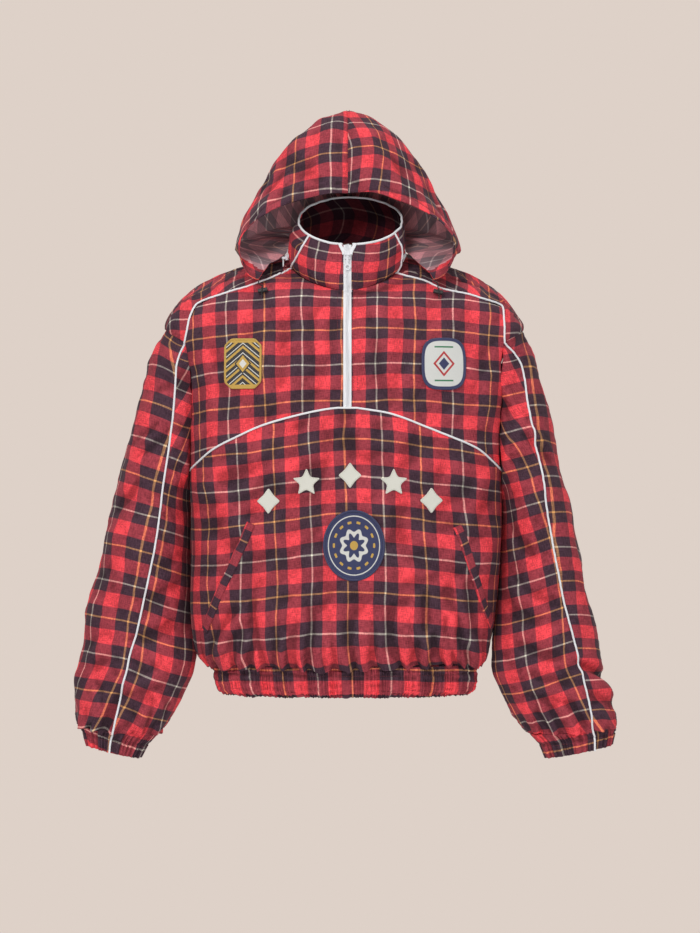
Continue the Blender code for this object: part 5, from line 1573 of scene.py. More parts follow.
def star(radius, tips):
    inner = {4: 0.62, 5: 0.46}[tips]
    turns = [radians(90) + pi * k / tips for k in range(2 * tips)]
    reach = [radius if k % 2 == 0 else radius * inner for k in range(2 * tips)]
    if tips == 4:
        return outline([(r * cos(t) * 0.9, r * sin(t)) for r, t in zip(reach, turns)], 7)
    return outline([(r * cos(t), r * sin(t)) for r, t in zip(reach, turns)], 6)


def on_front(points, lift):
    """Points and normals on the front's cloth, seen from the front at x and z."""
    shape = points.shape[:-1]
    bearing, level = front_place(points[..., 0].ravel(), points[..., 1].ravel())
    found, normals = trunk_skin(bearing, level, 0.0)
    smooth_base = trunk(bearing, level)
    height = ((found - smooth_base) * normals).sum(-1).reshape(shape)
    base, normals = smooth_base.reshape(*shape, 3), normals.reshape(*shape, 3)
    return base + normals * (0.35 * height + 0.65 * height.mean() + 0.0016 + lift)[..., None], normals


RIM_SIDES = 10


def make_patch(name, centre, edge, wall, material, slot, rim=None, rings=26):
    """A stiff piece sewn on the front, with its own flat places, and a raised rim."""
    shares = np.concatenate([np.linspace(0, 0.94, rings), [0.975, 1.0]])
    view = np.array(centre) + edge[None] * shares[:, None, None]
    view = np.concatenate([view, view[:, :1]], 1)
    drop = np.concatenate([np.zeros(rings), [-0.0002, -0.0009]])
    points, normals = on_front(view, wall + drop[:, None])
    uv = view - np.array(centre)
    mesh = shell(name, [(points, normals, uv)], wall + 0.0012)
    make_object(name + "_face", mesh, name, [material])
    if rim is not None:
        make_rim(name, centre, edge, wall, slot, *rim)


def make_rim(name, centre, edge, wall, slot, thick, material):
    """A round cord of thread just inside a patch's edge."""
    loop = np.concatenate([edge, edge[:2]]) * (1 - thick * 0.6 / np.abs(edge).max()) + np.array(centre)
    ring, normals = (table[:-2] for table in on_front(loop, wall * 0.62))
    ahead = unit(np.roll(ring, -1, 0) - np.roll(ring, 1, 0))
    side = unit(np.cross(ahead, normals))
    profile = circle(thick, RIM_SIDES, 0.62)
    verts = (ring[:, None] + side[:, None] * profile[None, :, :1]
             + np.cross(side, ahead)[:, None] * profile[None, :, 1:])
    ids = np.arange(len(ring) * RIM_SIDES).reshape(-1, RIM_SIDES)
    after, above = np.roll(ids, -1, 1), np.roll(ids, -1, 0)
    faces = np.stack([ids, after, np.roll(after, -1, 0), above], -1).reshape(-1, 4)
    middles = np.repeat(ring, RIM_SIDES, 0)
    flat = verts.reshape(-1, 3)
    cross = np.cross(flat[faces[:, 2]] - flat[faces[:, 0]], flat[faces[:, 3]] - flat[faces[:, 1]])
    if (cross * (flat - middles)[faces[:, 0]]).sum() < 0:
        faces = faces[:, ::-1]
    along, girth = np.meshgrid(np.arange(len(ring)) * 0.002, np.arange(RIM_SIDES) / RIM_SIDES, indexing="ij")
    uv = np.stack([girth, along], -1).reshape(-1, 2)
    make_object(name + "_rim", build_mesh(name + "_rim", flat, faces, uv[faces]), name,
                [material], stands_for=False)


def make_patches(materials):
    make_patch("patch_gold", GOLD_PATCH[:2], cut_corner(*GOLD_PATCH[2:], 0.010), 0.0012,
               materials["gold"], "gold_patch", (0.0016, materials["gold_thread"]))
    make_patch("patch_cream", CREAM_PATCH[:2], rounded(*CREAM_PATCH[2:]), 0.0012,
               materials["cream"], "cream_patch", (0.0018, materials["navy_thread"]))
    make_patch("patch_navy", NAVY_PATCH[:2], rounded(*NAVY_PATCH[2:], 2.0, 140), 0.0012,
               materials["navy"], "navy_patch", (0.0018, materials["navy_thread"]))
    for number, (x, z, radius, tips) in enumerate(MOTIFS, 1):
        name = f"felt_motif_{number}"
        make_patch(name, (x, z), star(radius, tips), 0.0020, materials["felt"], "cream_felt", rings=8)
        edge = star(radius, tips) * 0.86 + np.array((x, z))
        points, normals = on_front(np.concatenate([edge, edge[:1]]), 0.0021)
        rows = [stitches(points, normals, 0.0034)]
        place_threads(name + "_stitches", name, rows, materials, "felt_thread")


# ---------------------------------------------------------------- stitches

def make_topstitch(materials):
    """Rows of stitches along the seams."""
    for side, word in SIDES:
        points, normals = zip_line(side, 1.0, lift=0.0003)
        rows = [stitches(shifted(points, normals, side * aside), normals) for aside in (0.0032, 0.0088)]
        place_threads(f"zip_stitches_{word}", f"front_yoke_{word}", rows, materials)
        share, rise = np.linspace(0.02, 0.985, 400), np.linspace(0.02, 0.99, 400)
        beside_crown = hood_skin[side](share, np.full(400, 0.985), 0.0002)
        casing = hood_skin[side](casing_share(side, rise, 0.0150), rise, 0.0002)
        rows = [stitches(*beside_crown), stitches(*casing)]
        place_threads(f"hood_stitches_{word}", f"hood_{word}", rows, materials)
        rows = []
        for name, (line_skin, places) in pipe_places().items():
            if not name.endswith(word) or name.startswith("collar"):
                continue
            points, normals = line_on(line_skin, places, 0.0001)
            aside = 0.0042 if name.startswith("shoulder") else -0.0042
            rows.append(stitches(shifted(points, normals, aside), normals))
        place_threads(f"seam_stitches_{word}", f"sleeve_front_{word}", rows, materials)
        turn = np.linspace(0, 360, 500)
        points, normals = cuff_skin[side](turn, np.full(500, 1.15), 0.0002)
        place_threads(f"cuff_stitches_{word}", f"cuff_{word}", [stitches(points, normals)], materials)
    rows, bearing, levels = [], np.linspace(-180, 180, 900), np.linspace(0, 3, 400)
    for height in BAND_ROWS:
        level = np.interp(height, hem_band.track(levels)[:, 0], levels)
        rows.append(stitches(*band_skin(bearing, np.full(900, level), 0.0002)))
    place_threads("band_stitches", "hem_band", rows, materials)


def casing_share(side, rise, width):
    """Share at a distance from the hood's opening edge."""
    shares = np.linspace(0, 0.25, 60)
    points = hood(side)(shares[:, None], rise[None])
    along = Lengths.summed(points, 0)
    return np.array([np.interp(width, along[:, k], shares) for k in range(len(rise))])


# ---------------------------------------------------------------- cords

def make_cords(materials):
    """Elastic cord ends that hang from the hood's corners over their locks."""
    for side, word in SIDES:
        x, z = LOCK_SPOT[side]
        bearing, level = (float(value) for value in front_place(side * x, z))
        normal = normal_of(trunk, np.array(bearing), np.array(level), *RING_STEP)
        centre = trunk(np.array(bearing), np.array(level)) + normal * LOCK_OUT
        up = unit(np.array((0.0, 0.0, 1.0)) - normal * normal[2])
        over = [centre + normal * out + up * rise for rise, out in CORD_OVER_LOCK]
        start = np.array((side * HOOD_CORNER[0], *HOOD_CORNER[1:])) + (side * 0.0004, -0.0004, -0.0006)
        route = [start, (start + over[0]) / 2 + (side * 0.0030, -0.0030, 0)] + over
        knots = np.linspace(0, 1, len(route))
        path = Track(knots, route)(np.linspace(0, 1, 60))
        curve = bpy.data.curves.new(f"hood_cord_{word}", "CURVE")
        curve.dimensions, curve.bevel_depth, curve.bevel_resolution = "3D", CORD / 2, 3
        curve.use_fill_caps = True
        line = curve.splines.new("POLY")
        line.points.add(len(path) - 1)
        for k, point in enumerate(path):
            line.points[k].co = (*point, 1)
        curve.materials.append(materials["cord"])
        cord = bpy.data.objects.new(f"hood_cord_{word}_line", curve)
        bpy.context.scene.collection.objects.link(cord)
        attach(cord, BODY)
        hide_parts(f"hood_cord_{word}")


# ---------------------------------------------------------------- materials

class Socket:
    """A value in a shader: arithmetic on it makes Math nodes, `node` makes any other."""

    def __init__(self, tree, output):
        self.tree, self.output = tree, output

    @staticmethod
    def feed(tree, socket, value):
        if isinstance(value, Socket):
            tree.links.new(value.output, socket)
        elif isinstance(value, bpy.types.NodeSocket):
            tree.links.new(value, socket)
        elif hasattr(value, "__len__") and len(value) == 3 and socket.type == "RGBA":
            socket.default_value = (*value, 1)
        else:
            socket.default_value = value

    def node(self, kind, out=0, settings=(), **inputs):
        made = self.tree.nodes.new(kind)
        for key, value in dict(settings).items():
            setattr(made, key, value)
        for key, value in inputs.items():
            name = key.lstrip("_")
            name = int(name) if name.isdigit() else name.replace("_", " ")
            self.feed(self.tree, made.inputs[name], value)
        return Socket(self.tree, made.outputs[out])

    def math(self, operation, *values):
        made = self.tree.nodes.new("ShaderNodeMath")
        made.operation = operation
        for socket, value in zip(made.inputs, values):
            self.feed(self.tree, socket, value)
        return Socket(self.tree, made.outputs[0])

    def __add__(self, other):
        return self.math("ADD", self, other)

    def __radd__(self, other):
        return self.math("ADD", other, self)

    def __sub__(self, other):
        return self.math("SUBTRACT", self, other)

    def __rsub__(self, other):
        return self.math("SUBTRACT", other, self)

    def __mul__(self, other):
        return self.math("MULTIPLY", self, other)

    def __rmul__(self, other):
        return self.math("MULTIPLY", other, self)

    def __truediv__(self, other):
        return self.math("DIVIDE", self, other)

    def __rtruediv__(self, other):
        return self.math("DIVIDE", other, self)

    def __mod__(self, other):
        return self.math("FLOORED_MODULO", self, other)

    def __abs__(self):
        return self.math("ABSOLUTE", self)

    def step(self, low, high):
        """1 below low, 0 above high, and a soft step between."""
        return self.node("ShaderNodeMapRange", settings={"interpolation_type": "SMOOTHSTEP"}, Value=self,
                         From_Min=low, From_Max=high, To_Min=1.0, To_Max=0.0)

    def blend(self, share, low, high, kind="MIX"):
        """Two colours, mixed or multiplied by a share."""
        return self.node("ShaderNodeMix", 2, {"data_type": "RGBA", "blend_type": kind},
                         _0=share, _6=low, _7=high)

    def mix(self, low, high):
        """The colour between two, by this share."""
        return self.blend(self, low, high)


def new_material(name, roughness=0.8, sheen=0.0, sheen_tint=(1, 1, 1), shine=0.5, **more):
    """A material and its handles: shader node and an empty socket to build from."""
    made = bpy.data.materials.new(name)
    made.use_nodes = True
    shader = made.node_tree.nodes["Principled BSDF"]
    shader.inputs["Roughness"].default_value = roughness
    shader.inputs["Specular IOR Level"].default_value = shine
    if sheen:
        shader.inputs["Sheen Weight"].default_value = sheen
        shader.inputs["Sheen Roughness"].default_value = 0.45
        shader.inputs["Sheen Tint"].default_value = (*sheen_tint, 1)
    for key, value in more.items():
        shader.inputs[key.replace("_", " ")].default_value = value
    return made, shader, Socket(made.node_tree, None)


def set_input(shader, name, value):
    Socket.feed(value.tree, shader.inputs[name], value)


def tartan(start, pitch, red, dark, yellow, white):
    """The woven check: warp and weft stripes of the same colours, mixed as yarns."""
    cloth, u, v = places(start)
    drift = start.node("ShaderNodeTexNoise", 1, Vector=cloth, Scale=11.0, Detail=2.0)
    drift = start.node("ShaderNodeSeparateXYZ", Vector=drift)
    yarns = []
    for at, shift in ((u, drift), (v, Socket(start.tree, drift.output.node.outputs[1]))):
        index = (at + shift * 0.0105 - 0.00525) / pitch + 0.5
        row = start.math("FLOOR", index)
        distance = abs(index - row - 0.5) * pitch
        bar = distance.step(0.0170, 0.0184)
        line = distance.step(0.0009, 0.0016)
        odd = row % 2.0
        yarns.append(line.mix(bar.mix(red, dark), odd.mix(yellow, white)))
    warp, weft = yarns
    mean = start.blend(0.5, warp, weft)
    root = start.node("ShaderNodeGamma", Color=start.blend(1.0, warp, weft, "MULTIPLY"), Gamma=0.5)
    return start.blend(0.55, mean, root), u, v


def bumped(start, height, strength, distance):
    return start.node("ShaderNodeBump", Height=height, Strength=strength, Distance=distance)


def places(start):
    """The two places of a piece's own cloth map."""
    cloth = start.node("ShaderNodeUVMap", settings={"uv_map": "cloth"})
    parts = start.node("ShaderNodeSeparateXYZ", Vector=cloth)
    return cloth, parts, Socket(start.tree, parts.output.node.outputs[1])


def waves(start, value, length):
    """Height from 0 to 1 of even waves along a value."""
    return start.math("SINE", value * (2 * pi / length)) * 0.5 + 0.5


def weave(start, u, v, yarn=0.00055):
    """Height of a plain weave: warp and weft take turns to lie on top."""
    first, second = waves(start, u, 2 * yarn), waves(start, v, 2 * yarn)
    return first * second + (1.0 - first) * (1.0 - second)


def embroidered(name, colour_of, sheen=0.25, stitch=0.00075):
    """A patch whose colours follow its flat places, sewn in rows of satin thread."""
    made, shader, start = new_material(name, 0.62, sheen)
    cloth, x, z = places(start)
    noise = start.node("ShaderNodeTexNoise", Vector=cloth, Scale=500.0, Detail=3.0)
    rows = waves(start, z * 0.94 + x * 0.34 + noise * 0.00012, stitch)
    colour = colour_of(start, x, z)
    shade = (rows * 0.6 + noise * 0.4).mix((0.80, 0.80, 0.80), (1.0, 1.0, 1.0))
    set_input(shader, "Base Color", start.blend(1.0, colour, shade, "MULTIPLY"))
    set_input(shader, "Normal", bumped(start, rows * 0.7 + noise * 0.5, 0.55, 0.0003))
    return made


def inside(value, limit, soft=0.0002):
    return value.step(limit - soft, limit + soft)


def gold_pattern(start, x, z):
    black, gold, white = (0.018, 0.016, 0.018), tuple(chosen().gold), (0.80, 0.78, 0.72)
    across, up = abs(x), abs(z)
    fold = (z + across * 0.85 + 0.1) % 0.0150
    colour = inside(abs(fold - 0.0055), 0.0022).mix(black, gold)
    colour = inside(abs(fold - 0.0115), 0.0008).mix(colour, white)
    diamond = across * 1.25 + up
    colour = inside(diamond, 0.0160).mix(colour, black)
    colour = inside(diamond, 0.0130).mix(colour, gold)
    colour = inside(diamond, 0.0072).mix(colour, white)
    border = start.math("MAXIMUM", across * (GOLD_PATCH[3] / GOLD_PATCH[2]) - 0.0025, up)
    return inside(border, 0.0320).mix(gold, colour)


def cream_pattern(start, x, z):
    cream, navy = (0.74, 0.74, 0.70), tuple(chosen().navy)
    red, green = (0.50, 0.03, 0.035), (0.03, 0.20, 0.08)
    across, up = abs(x), abs(z)
    diamond = across * 1.2 + up
    colour = inside(diamond, 0.0195).mix(cream, red)
    colour = inside(diamond, 0.0150).mix(colour, cream)
    colour = inside(diamond, 0.0095).mix(colour, navy)
    bar = start.math("MAXIMUM", abs(up - 0.0255), across - 0.0130)
    colour = inside(bar, 0.0012).mix(colour, green)
    half, tall = CREAM_PATCH[2:]
    ring = start.math("POWER", across / half, SQUARE) + start.math("POWER", up / tall, SQUARE)
    return inside(start.math("POWER", ring, 1 / SQUARE), 0.885, 0.01).mix(navy, colour)


def navy_pattern(start, x, z):
    navy, cream, gold = tuple(chosen().navy), (0.76, 0.75, 0.70), tuple(chosen().gold)
    over, up = x / NAVY_PATCH[2], z / NAVY_PATCH[3]
    radius = start.math("SQRT", over * over + up * up)
    turn = start.math("ARCTAN2", over, up)
    petals = start.math("COSINE", turn * 8.0) * 0.05
    colour = inside(radius + petals, 0.44, 0.012).mix(navy, cream)
    colour = inside(radius + petals * 1.4, 0.30, 0.012).mix(colour, navy)
    colour = inside(radius, 0.13, 0.010).mix(colour, gold)
    colour = inside(abs(radius - 0.84), 0.016, 0.006).mix(colour, cream)
    dots = start.math("COSINE", turn * 14.0)
    spot = start.math("MULTIPLY", inside(abs(radius - 0.66), 0.035, 0.01), dots * -1.0 + 0.45)
    return inside(1.0 - spot, 0.35, 0.05).mix(colour, gold)


def satin_material(name, colour, stitch=0.0009):
    """Close rows of thread round a rim."""
    made, shader, start = new_material(name, 0.5, 0.2)
    cloth, _, along = places(start)
    noise = start.node("ShaderNodeTexNoise", Vector=cloth, Scale=200.0)
    rows = waves(start, along + noise * 0.0002, stitch)
    set_input(shader, "Base Color", (rows * 0.5 + noise * 0.5).mix(tuple(c * 0.7 for c in colour), colour))
    set_input(shader, "Normal", bumped(start, rows, 0.6, 0.0002))
    return made


def woven_material(name, colour, yarn=0.0005, roughness=0.7, depth=0.5):
    """White tape, binding and cord: a fine even weave on the piece's own places."""
    made, shader, start = new_material(name, roughness, 0.1)
    place = start.node("ShaderNodeTexCoord", 3)
    parts = start.node("ShaderNodeSeparateXYZ", Vector=place)
    up = Socket(start.tree, parts.output.node.outputs[2])
    noise = start.node("ShaderNodeTexNoise", Vector=place, Scale=700.0, Detail=3.0)
    rows = waves(start, up + parts * 0.6 + noise * 0.0003, 2 * yarn)
    set_input(shader, "Base Color", (rows * 0.4 + noise * 0.6).mix(tuple(c * 0.84 for c in colour), colour))
    set_input(shader, "Normal", bumped(start, rows * 0.6 + noise * 0.4, depth, 0.0002))
    return made


def grained_material(name, colour, scale, depth=0.3, low=0.86, **more):
    """Felt, thread, plastic and paint: one colour with its own grain."""
    made, shader, start = new_material(name, **more)
    place = start.node("ShaderNodeTexCoord", 3)
    noise = start.node("ShaderNodeTexNoise", Vector=place, Scale=scale, Detail=4.0, Roughness=0.6)
    set_input(shader, "Base Color", noise.mix(tuple(c * low for c in colour), colour))
    set_input(shader, "Normal", bumped(start, noise, depth, 0.0003))
    return made


def cloth_material(name, pale=0.0, painted_shade=0.0):
    """The jacket's check, with its weave, a soft nap and uneven wear, and painted shade in its creases. pale
    lightens it, partly as its paler reverse and partly as painted light; a darkening share colours it all as
    painted shade.
    """
    sheen, shine = (0.0, 0.03) if painted_shade else (0.04, 0.18)
    made, shader, start = new_material(name, 0.82, sheen, (1.0, 0.85, 0.85), shine)
    look = chosen()
    colours = [tuple(yarn) for yarn in (look.red, look.dark, look.yellow, look.white)]
    colour, u, v = tartan(start, look.pitch, *colours)
    spot = start.node("ShaderNodeUVMap", settings={"uv_map": "cloth"})
    slub = start.node("ShaderNodeMapping", Vector=spot, Scale=(1.0, 9.0, 1.0))
    cross = start.node("ShaderNodeMapping", Vector=spot, Scale=(9.0, 1.0, 1.0))
    yarns = start.node("ShaderNodeTexNoise", Vector=slub, Scale=120.0, Detail=2.0) * 0.5 \
        + start.node("ShaderNodeTexNoise", Vector=cross, Scale=120.0, Detail=2.0) * 0.5
    wear = start.node("ShaderNodeTexNoise", Vector=spot, Scale=26.0, Detail=3.0)
    tone = (yarns * 0.80 + wear * 0.20).step(0.40, 0.60)
    shade = tone.mix((0.66, 0.64, 0.67), (1.30, 1.30, 1.27))
    # Painted shade and light: the colour is darkened by up to 38% in creases and lightened a little on
    # ridges.
    fold = start.node("ShaderNodeAttribute", 2, {"attribute_name": "fold"})
    shade = start.node("ShaderNodeVectorMath", 0, {"operation": "SCALE"}, Vector=shade,
                       Scale=1.0 - fold * 0.38)
    colour = start.blend(1.0, colour, shade, "MULTIPLY")
    # A paler tone: partly the reverse's own paler colour, partly painted light for the lit inside of the
    # hood.
    if pale:
        share = start.node("ShaderNodeSeparateColor", 0, Color=colour) * pale + 0.20
        colour = start.blend(share, colour, (1.0, 0.75, 0.80))
    # Painted shade: the whole colour blended most of the way to near black, for insides that lie in shadow.
    if painted_shade:
        colour = start.blend(painted_shade, colour, (0.012, 0.003, 0.005))
    set_input(shader, "Base Color", colour)
    set_input(shader, "Roughness", wear * 0.10 + 0.76)
    crumple = start.node("ShaderNodeTexNoise", Vector=spot, Scale=38.0, Detail=3.0, Roughness=0.5)
    soft = start.node("ShaderNodeTexNoise", Vector=spot, Scale=13.0, Detail=2.0, Distortion=0.6)
    height = weave(start, u, v) * 0.06 + yarns * 0.20 + crumple * 2.4 + soft * 4.5
    set_input(shader, "Normal", bumped(start, height, 1.0, 0.001))
    return made


def make_materials():
    look = chosen()
    white, felt, gold, navy = (tuple(colour) for colour in (look.trim, look.felt, look.gold, look.navy))
    return {
        # The reverse is paler partly by its own colour, partly as painted light.
        "check": cloth_material("check cloth"), "reverse": cloth_material("cloth reverse with painted light", 0.39),
        # The check darkened all over as painted shade, for the insides of the collar and back.
        "painted_shade": cloth_material("cloth in painted shade", 0.0, 0.84),
        "piping": woven_material("white piping", white), "tape": woven_material("zip tape", white, 0.0004),
        "coil": grained_material("zip coil", white, 900.0, 0.1, roughness=0.4),
        "thread": grained_material("red thread", (0.16, 0.018, 0.028), 2500.0, roughness=0.7),
        "felt_thread": grained_material("cream thread", (0.62, 0.60, 0.50), 2500.0, roughness=0.7),
        "felt": grained_material("cream felt", felt, 1400.0, 0.6, 0.82, roughness=0.95, sheen=0.3),
        "gold": embroidered("gold patch", gold_pattern), "cream": embroidered("cream patch", cream_pattern),
        "navy": embroidered("navy patch", navy_pattern),
        "gold_thread": satin_material("gold rim", gold),
        "navy_thread": satin_material("navy rim", navy),
        "cord": grained_material("black cord", (0.010, 0.010, 0.012), 1500.0, roughness=0.75, sheen=0.1),
        "fitting": grained_material("black fitting", (0.012, 0.012, 0.014), 700.0, 0.1, roughness=0.45),
        "metal": grained_material("zip metal", (0.80, 0.81, 0.84), 400.0, 0.05, 0.94, roughness=0.32),
    }


FITTINGS = {
    "zip_slider": "metal", "zip_pull": "metal", "hood_zip_slider": "metal", "hood_zip_pull": "metal",
    "cord_lock_left": "fitting", "cord_lock_right": "fitting",
}


def dress_fittings(materials):
    """The solids that show as they are: sliders, pulls and cord locks."""
    for node, key in FITTINGS.items():
        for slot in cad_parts[node].material_slots:
            slot.material = materials[key]


# Camera distance from the jacket's mid plane, and half the height that it sees there
CAMERA_OUT, HALF_SEEN, FLOOR = 4.5, 0.72774, -1.35


def make_stage():
    """Camera, soft light, backdrop colour and floor."""
    scene = bpy.context.scene
    camera = bpy.data.objects.new("camera", bpy.data.cameras.new("camera"))
    scene.collection.objects.link(camera)
    camera.location, camera.rotation_euler = (0.006, -CAMERA_OUT, -0.3136), (pi / 2, 0, 0)
    camera.data.sensor_fit = "VERTICAL"
    camera.data.angle = 2 * atan2(HALF_SEEN, CAMERA_OUT)
    scene.camera = camera
    floor = bpy.data.meshes.new("floor")
    corners = [(x, y, FLOOR) for x, y in ((-2, -1), (2, -1), (2, 1), (-2, 1))]
    floor.from_pydata(corners, [], [(0, 1, 2, 3)])
    floor_piece = bpy.data.objects.new("floor", floor)
    scene.collection.objects.link(floor_piece)
    pale, shader, start = new_material("floor", 0.9)
    noise = start.node("ShaderNodeTexNoise", Scale=3.0)
    set_input(shader, "Base Color", noise.mix((0.80, 0.78, 0.76), (0.76, 0.74, 0.72)))
    floor.materials.append(pale)
    for name, spot, size, power_w, colour in (
            ("key", (-1.5, -3.2, 2.0), 1.2, 76, (1, 0.985, 0.97)),
            ("fill", (2.6, -3.0, 0.4), 2.0, 34, (0.97, 0.985, 1)),
            ("low", (-0.5, -3.8, -1.1), 1.6, 26, (1, 1, 1)),
            ("top", (0.0, 0.2, 3.0), 2.0, 26, (1, 1, 1)),
            ("back", (0.3, 3.2, 1.2), 2.4, 30, (1, 1, 1))):
        lamp = bpy.data.lights.new(name, "AREA")
        lamp.shape, lamp.size, lamp.energy, lamp.color = "SQUARE", size, power_w, colour
        piece = bpy.data.objects.new(name, lamp)
        piece.location = spot
        piece.rotation_euler = (Vector((0, 0, -0.3)) - Vector(spot)).to_track_quat("-Z", "Y").to_euler()
        scene.collection.objects.link(piece)
    world = bpy.data.worlds.new("studio")
    scene.world = world
    world.use_nodes = True
    tree = world.node_tree
    tree.nodes.clear()
    start = Socket(tree, None)
    seen_by = [start.node("ShaderNodeLightPath", f"Is {kind} Ray")
               for kind in ("Camera", "Glossy", "Transmission")]
    ray = start.math("MAXIMUM", start.math("MAXIMUM", seen_by[0], seen_by[1]), seen_by[2])
    seen = start.node("ShaderNodeBackground", Color=(0.7305, 0.6376, 0.5776), Strength=1.0)
    light = start.node("ShaderNodeBackground", Color=(0.95, 0.97, 1.0), Strength=0.30)
    mixed = start.node("ShaderNodeMixShader", _0=ray, _1=light, _2=seen)
    out = tree.nodes.new("ShaderNodeOutputWorld")
    tree.links.new(mixed.output, out.inputs["Surface"])
    scene.view_settings.view_transform = "Standard"


MATERIALS = {}


def length_setting(name, description, default, low, high):
    return bpy.props.FloatProperty(name=name, description=description, default=default, min=low, max=high,
                                   precision=4, subtype="DISTANCE", unit="LENGTH")


def colour_setting(name, description, default):
    return bpy.props.FloatVectorProperty(name=name, description=description, default=default, size=3,
                                         min=0, max=1, subtype="COLOR")


class TrackJacketSettings(bpy.types.PropertyGroup):
    """Sizes and colours of the jacket that may be changed."""
    cloth: length_setting("Cloth", "Thickness of the check cloth", CLOTH, 0.0005, 0.0025)
    band: length_setting("Gathered bands", "Thickness of the hem band and cuffs", BAND, 0.0015, 0.0040)
    piping: length_setting("Piping", "Radius of the white piping", 0.0016, 0.0010, 0.0025)
    stitch: length_setting("Stitch", "Length of one stitch with its gap", 0.0038, 0.0030, 0.0080)
    tooth: length_setting("Zip coil", "From one loop of the zip coil to the next", 0.0015, 0.0012, 0.0030)
    pitch: length_setting("Check", "From one thin line of the check to the next", PITCH, 0.0400, 0.0800)
    red: colour_setting("Red yarn", "Ground of the check", RED)
    dark: colour_setting("Dark yarn", "Broad bars of the check", DARK)
    yellow: colour_setting("Yellow yarn", "Every other thin line", YELLOW)
    white: colour_setting("White yarn", "The thin lines between", WHITE)
    trim: colour_setting("Trim", "Piping, binding and zips", (0.93, 0.93, 0.95))
    felt: colour_setting("Felt", "The sewn-on motifs", (0.79, 0.77, 0.68))
    gold: colour_setting("Gold thread", "Rim and rows of the gold patch", (0.62, 0.38, 0.07))
    navy: colour_setting("Navy thread", "Rims of the other patches", (0.022, 0.030, 0.105))


class TRACKJACKET_OT_materials(bpy.types.Operator):
    """Make the cloth, thread, patch and fitting materials"""
    bl_idname = "track_jacket.materials"
    bl_label = "Materials"

    def execute(self, context):
        MATERIALS.update(make_materials())
        return {"FINISHED"}


class TRACKJACKET_OT_fronts(bpy.types.Operator):
    """Chest yokes and the front below the arch"""
    bl_idname = "track_jacket.fronts"
    bl_label = "Fronts"

    def execute(self, context):
        make_fronts(MATERIALS)
        return {"FINISHED"}


class TRACKJACKET_OT_back(bpy.types.Operator):
    """The back with its strips over the shoulders"""
    bl_idname = "track_jacket.back"
    bl_label = "Back"

    def execute(self, context):
        make_back(MATERIALS)
        return {"FINISHED"}


class TRACKJACKET_OT_band(bpy.types.Operator):
    """The gathered hem band"""
    bl_idname = "track_jacket.band"
    bl_label = "Hem band"

    def execute(self, context):
        make_band(MATERIALS)
        return {"FINISHED"}


class TRACKJACKET_OT_sleeves(bpy.types.Operator):
    """Both sleeves with their gathered cuffs"""
    bl_idname = "track_jacket.sleeves"
    bl_label = "Sleeves and cuffs"

    def execute(self, context):
        make_sleeves(MATERIALS)
        return {"FINISHED"}


class TRACKJACKET_OT_collar(bpy.types.Operator):
    """The stand collar"""
    bl_idname = "track_jacket.collar"
    bl_label = "Collar"

    def execute(self, context):
        make_collar(MATERIALS)
        return {"FINISHED"}


class TRACKJACKET_OT_hood(bpy.types.Operator):
    """Both halves of the hood"""
    bl_idname = "track_jacket.hood"
    bl_label = "Hood"

    def execute(self, context):
        make_hood(MATERIALS)
        return {"FINISHED"}


class TRACKJACKET_OT_piping(bpy.types.Operator):
    """White piping in the seams and the binding of the collar"""
    bl_idname = "track_jacket.piping"
    bl_label = "Piping and binding"

    def execute(self, context):
        make_piping(MATERIALS)
        return {"FINISHED"}


class TRACKJACKET_OT_front_zip(bpy.types.Operator):
    """Tapes and coil of the front zip"""
    bl_idname = "track_jacket.front_zip"
    bl_label = "Front zip"

    def execute(self, context):
        make_front_zip(MATERIALS)
        return {"FINISHED"}


class TRACKJACKET_OT_hood_zip(bpy.types.Operator):
    """Tapes and coil of the zip round the collar"""
    bl_idname = "track_jacket.hood_zip"
    bl_label = "Hood zip"

    def execute(self, context):
        make_hood_zip(MATERIALS)
        return {"FINISHED"}


class TRACKJACKET_OT_welts(bpy.types.Operator):
    """The slanted pocket welts with their stitches"""
    bl_idname = "track_jacket.welts"
    bl_label = "Pocket welts"

    def execute(self, context):
        make_welts(MATERIALS)
        return {"FINISHED"}


class TRACKJACKET_OT_patches(bpy.types.Operator):
    """The plain patches and felt motifs, sewn on"""
    bl_idname = "track_jacket.patches"
    bl_label = "Patches and motifs"

    def execute(self, context):
        make_patches(MATERIALS)
        return {"FINISHED"}


class TRACKJACKET_OT_stitching(bpy.types.Operator):
    """Rows of stitches along the seams"""
    bl_idname = "track_jacket.stitching"
    bl_label = "Topstitching"

    def execute(self, context):
        make_topstitch(MATERIALS)
        return {"FINISHED"}


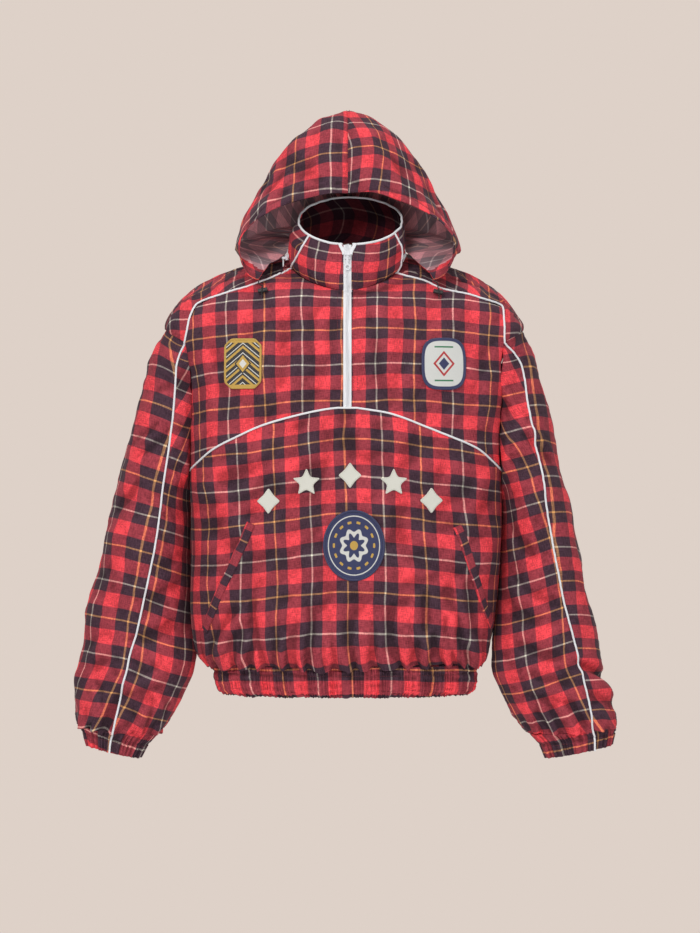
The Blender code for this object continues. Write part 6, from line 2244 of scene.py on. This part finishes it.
class TRACKJACKET_OT_cords(bpy.types.Operator):
    """Cord ends that hang from the hood, with their locks"""
    bl_idname = "track_jacket.cords"
    bl_label = "Hood cords"

    def execute(self, context):
        make_cords(MATERIALS)
        return {"FINISHED"}


class TRACKJACKET_OT_fittings(bpy.types.Operator):
    """Materials of the solids that show as they are"""
    bl_idname = "track_jacket.fittings"
    bl_label = "Sliders, pulls and locks"

    def execute(self, context):
        dress_fittings(MATERIALS)
        return {"FINISHED"}


class TRACKJACKET_OT_stage(bpy.types.Operator):
    """Camera, soft light, backdrop colour and floor"""
    bl_idname = "track_jacket.stage"
    bl_label = "Stage"

    def execute(self, context):
        make_stage()
        return {"FINISHED"}


OPERATORS = (
    TRACKJACKET_OT_materials, TRACKJACKET_OT_fronts, TRACKJACKET_OT_back, TRACKJACKET_OT_band,
    TRACKJACKET_OT_sleeves, TRACKJACKET_OT_collar, TRACKJACKET_OT_hood, TRACKJACKET_OT_piping,
    TRACKJACKET_OT_front_zip, TRACKJACKET_OT_hood_zip, TRACKJACKET_OT_welts, TRACKJACKET_OT_patches,
    TRACKJACKET_OT_stitching, TRACKJACKET_OT_cords, TRACKJACKET_OT_fittings, TRACKJACKET_OT_stage,
)


class TRACKJACKET_PT_panel(bpy.types.Panel):
    """Settings and pieces of the jacket"""
    bl_idname = "TRACKJACKET_PT_panel"
    bl_label = "Track Jacket"
    bl_space_type = "VIEW_3D"
    bl_region_type = "UI"
    bl_category = "Track Jacket"

    def draw(self, context):
        settings = context.scene.track_jacket
        for name in TrackJacketSettings.__annotations__:
            self.layout.prop(settings, name)
        for operator in OPERATORS:
            self.layout.operator(operator.bl_idname)


CLASSES = (TrackJacketSettings, *OPERATORS, TRACKJACKET_PT_panel)


def register():
    for made in CLASSES:
        bpy.utils.register_class(made)
    bpy.types.Scene.track_jacket = bpy.props.PointerProperty(type=TrackJacketSettings)


def unregister():
    del bpy.types.Scene.track_jacket
    for made in reversed(CLASSES):
        bpy.utils.unregister_class(made)


def main():
    register()
    for operator in OPERATORS:
        getattr(bpy.ops.track_jacket, operator.bl_idname.split(".")[1])()


if __name__ == "__main__":
    main()
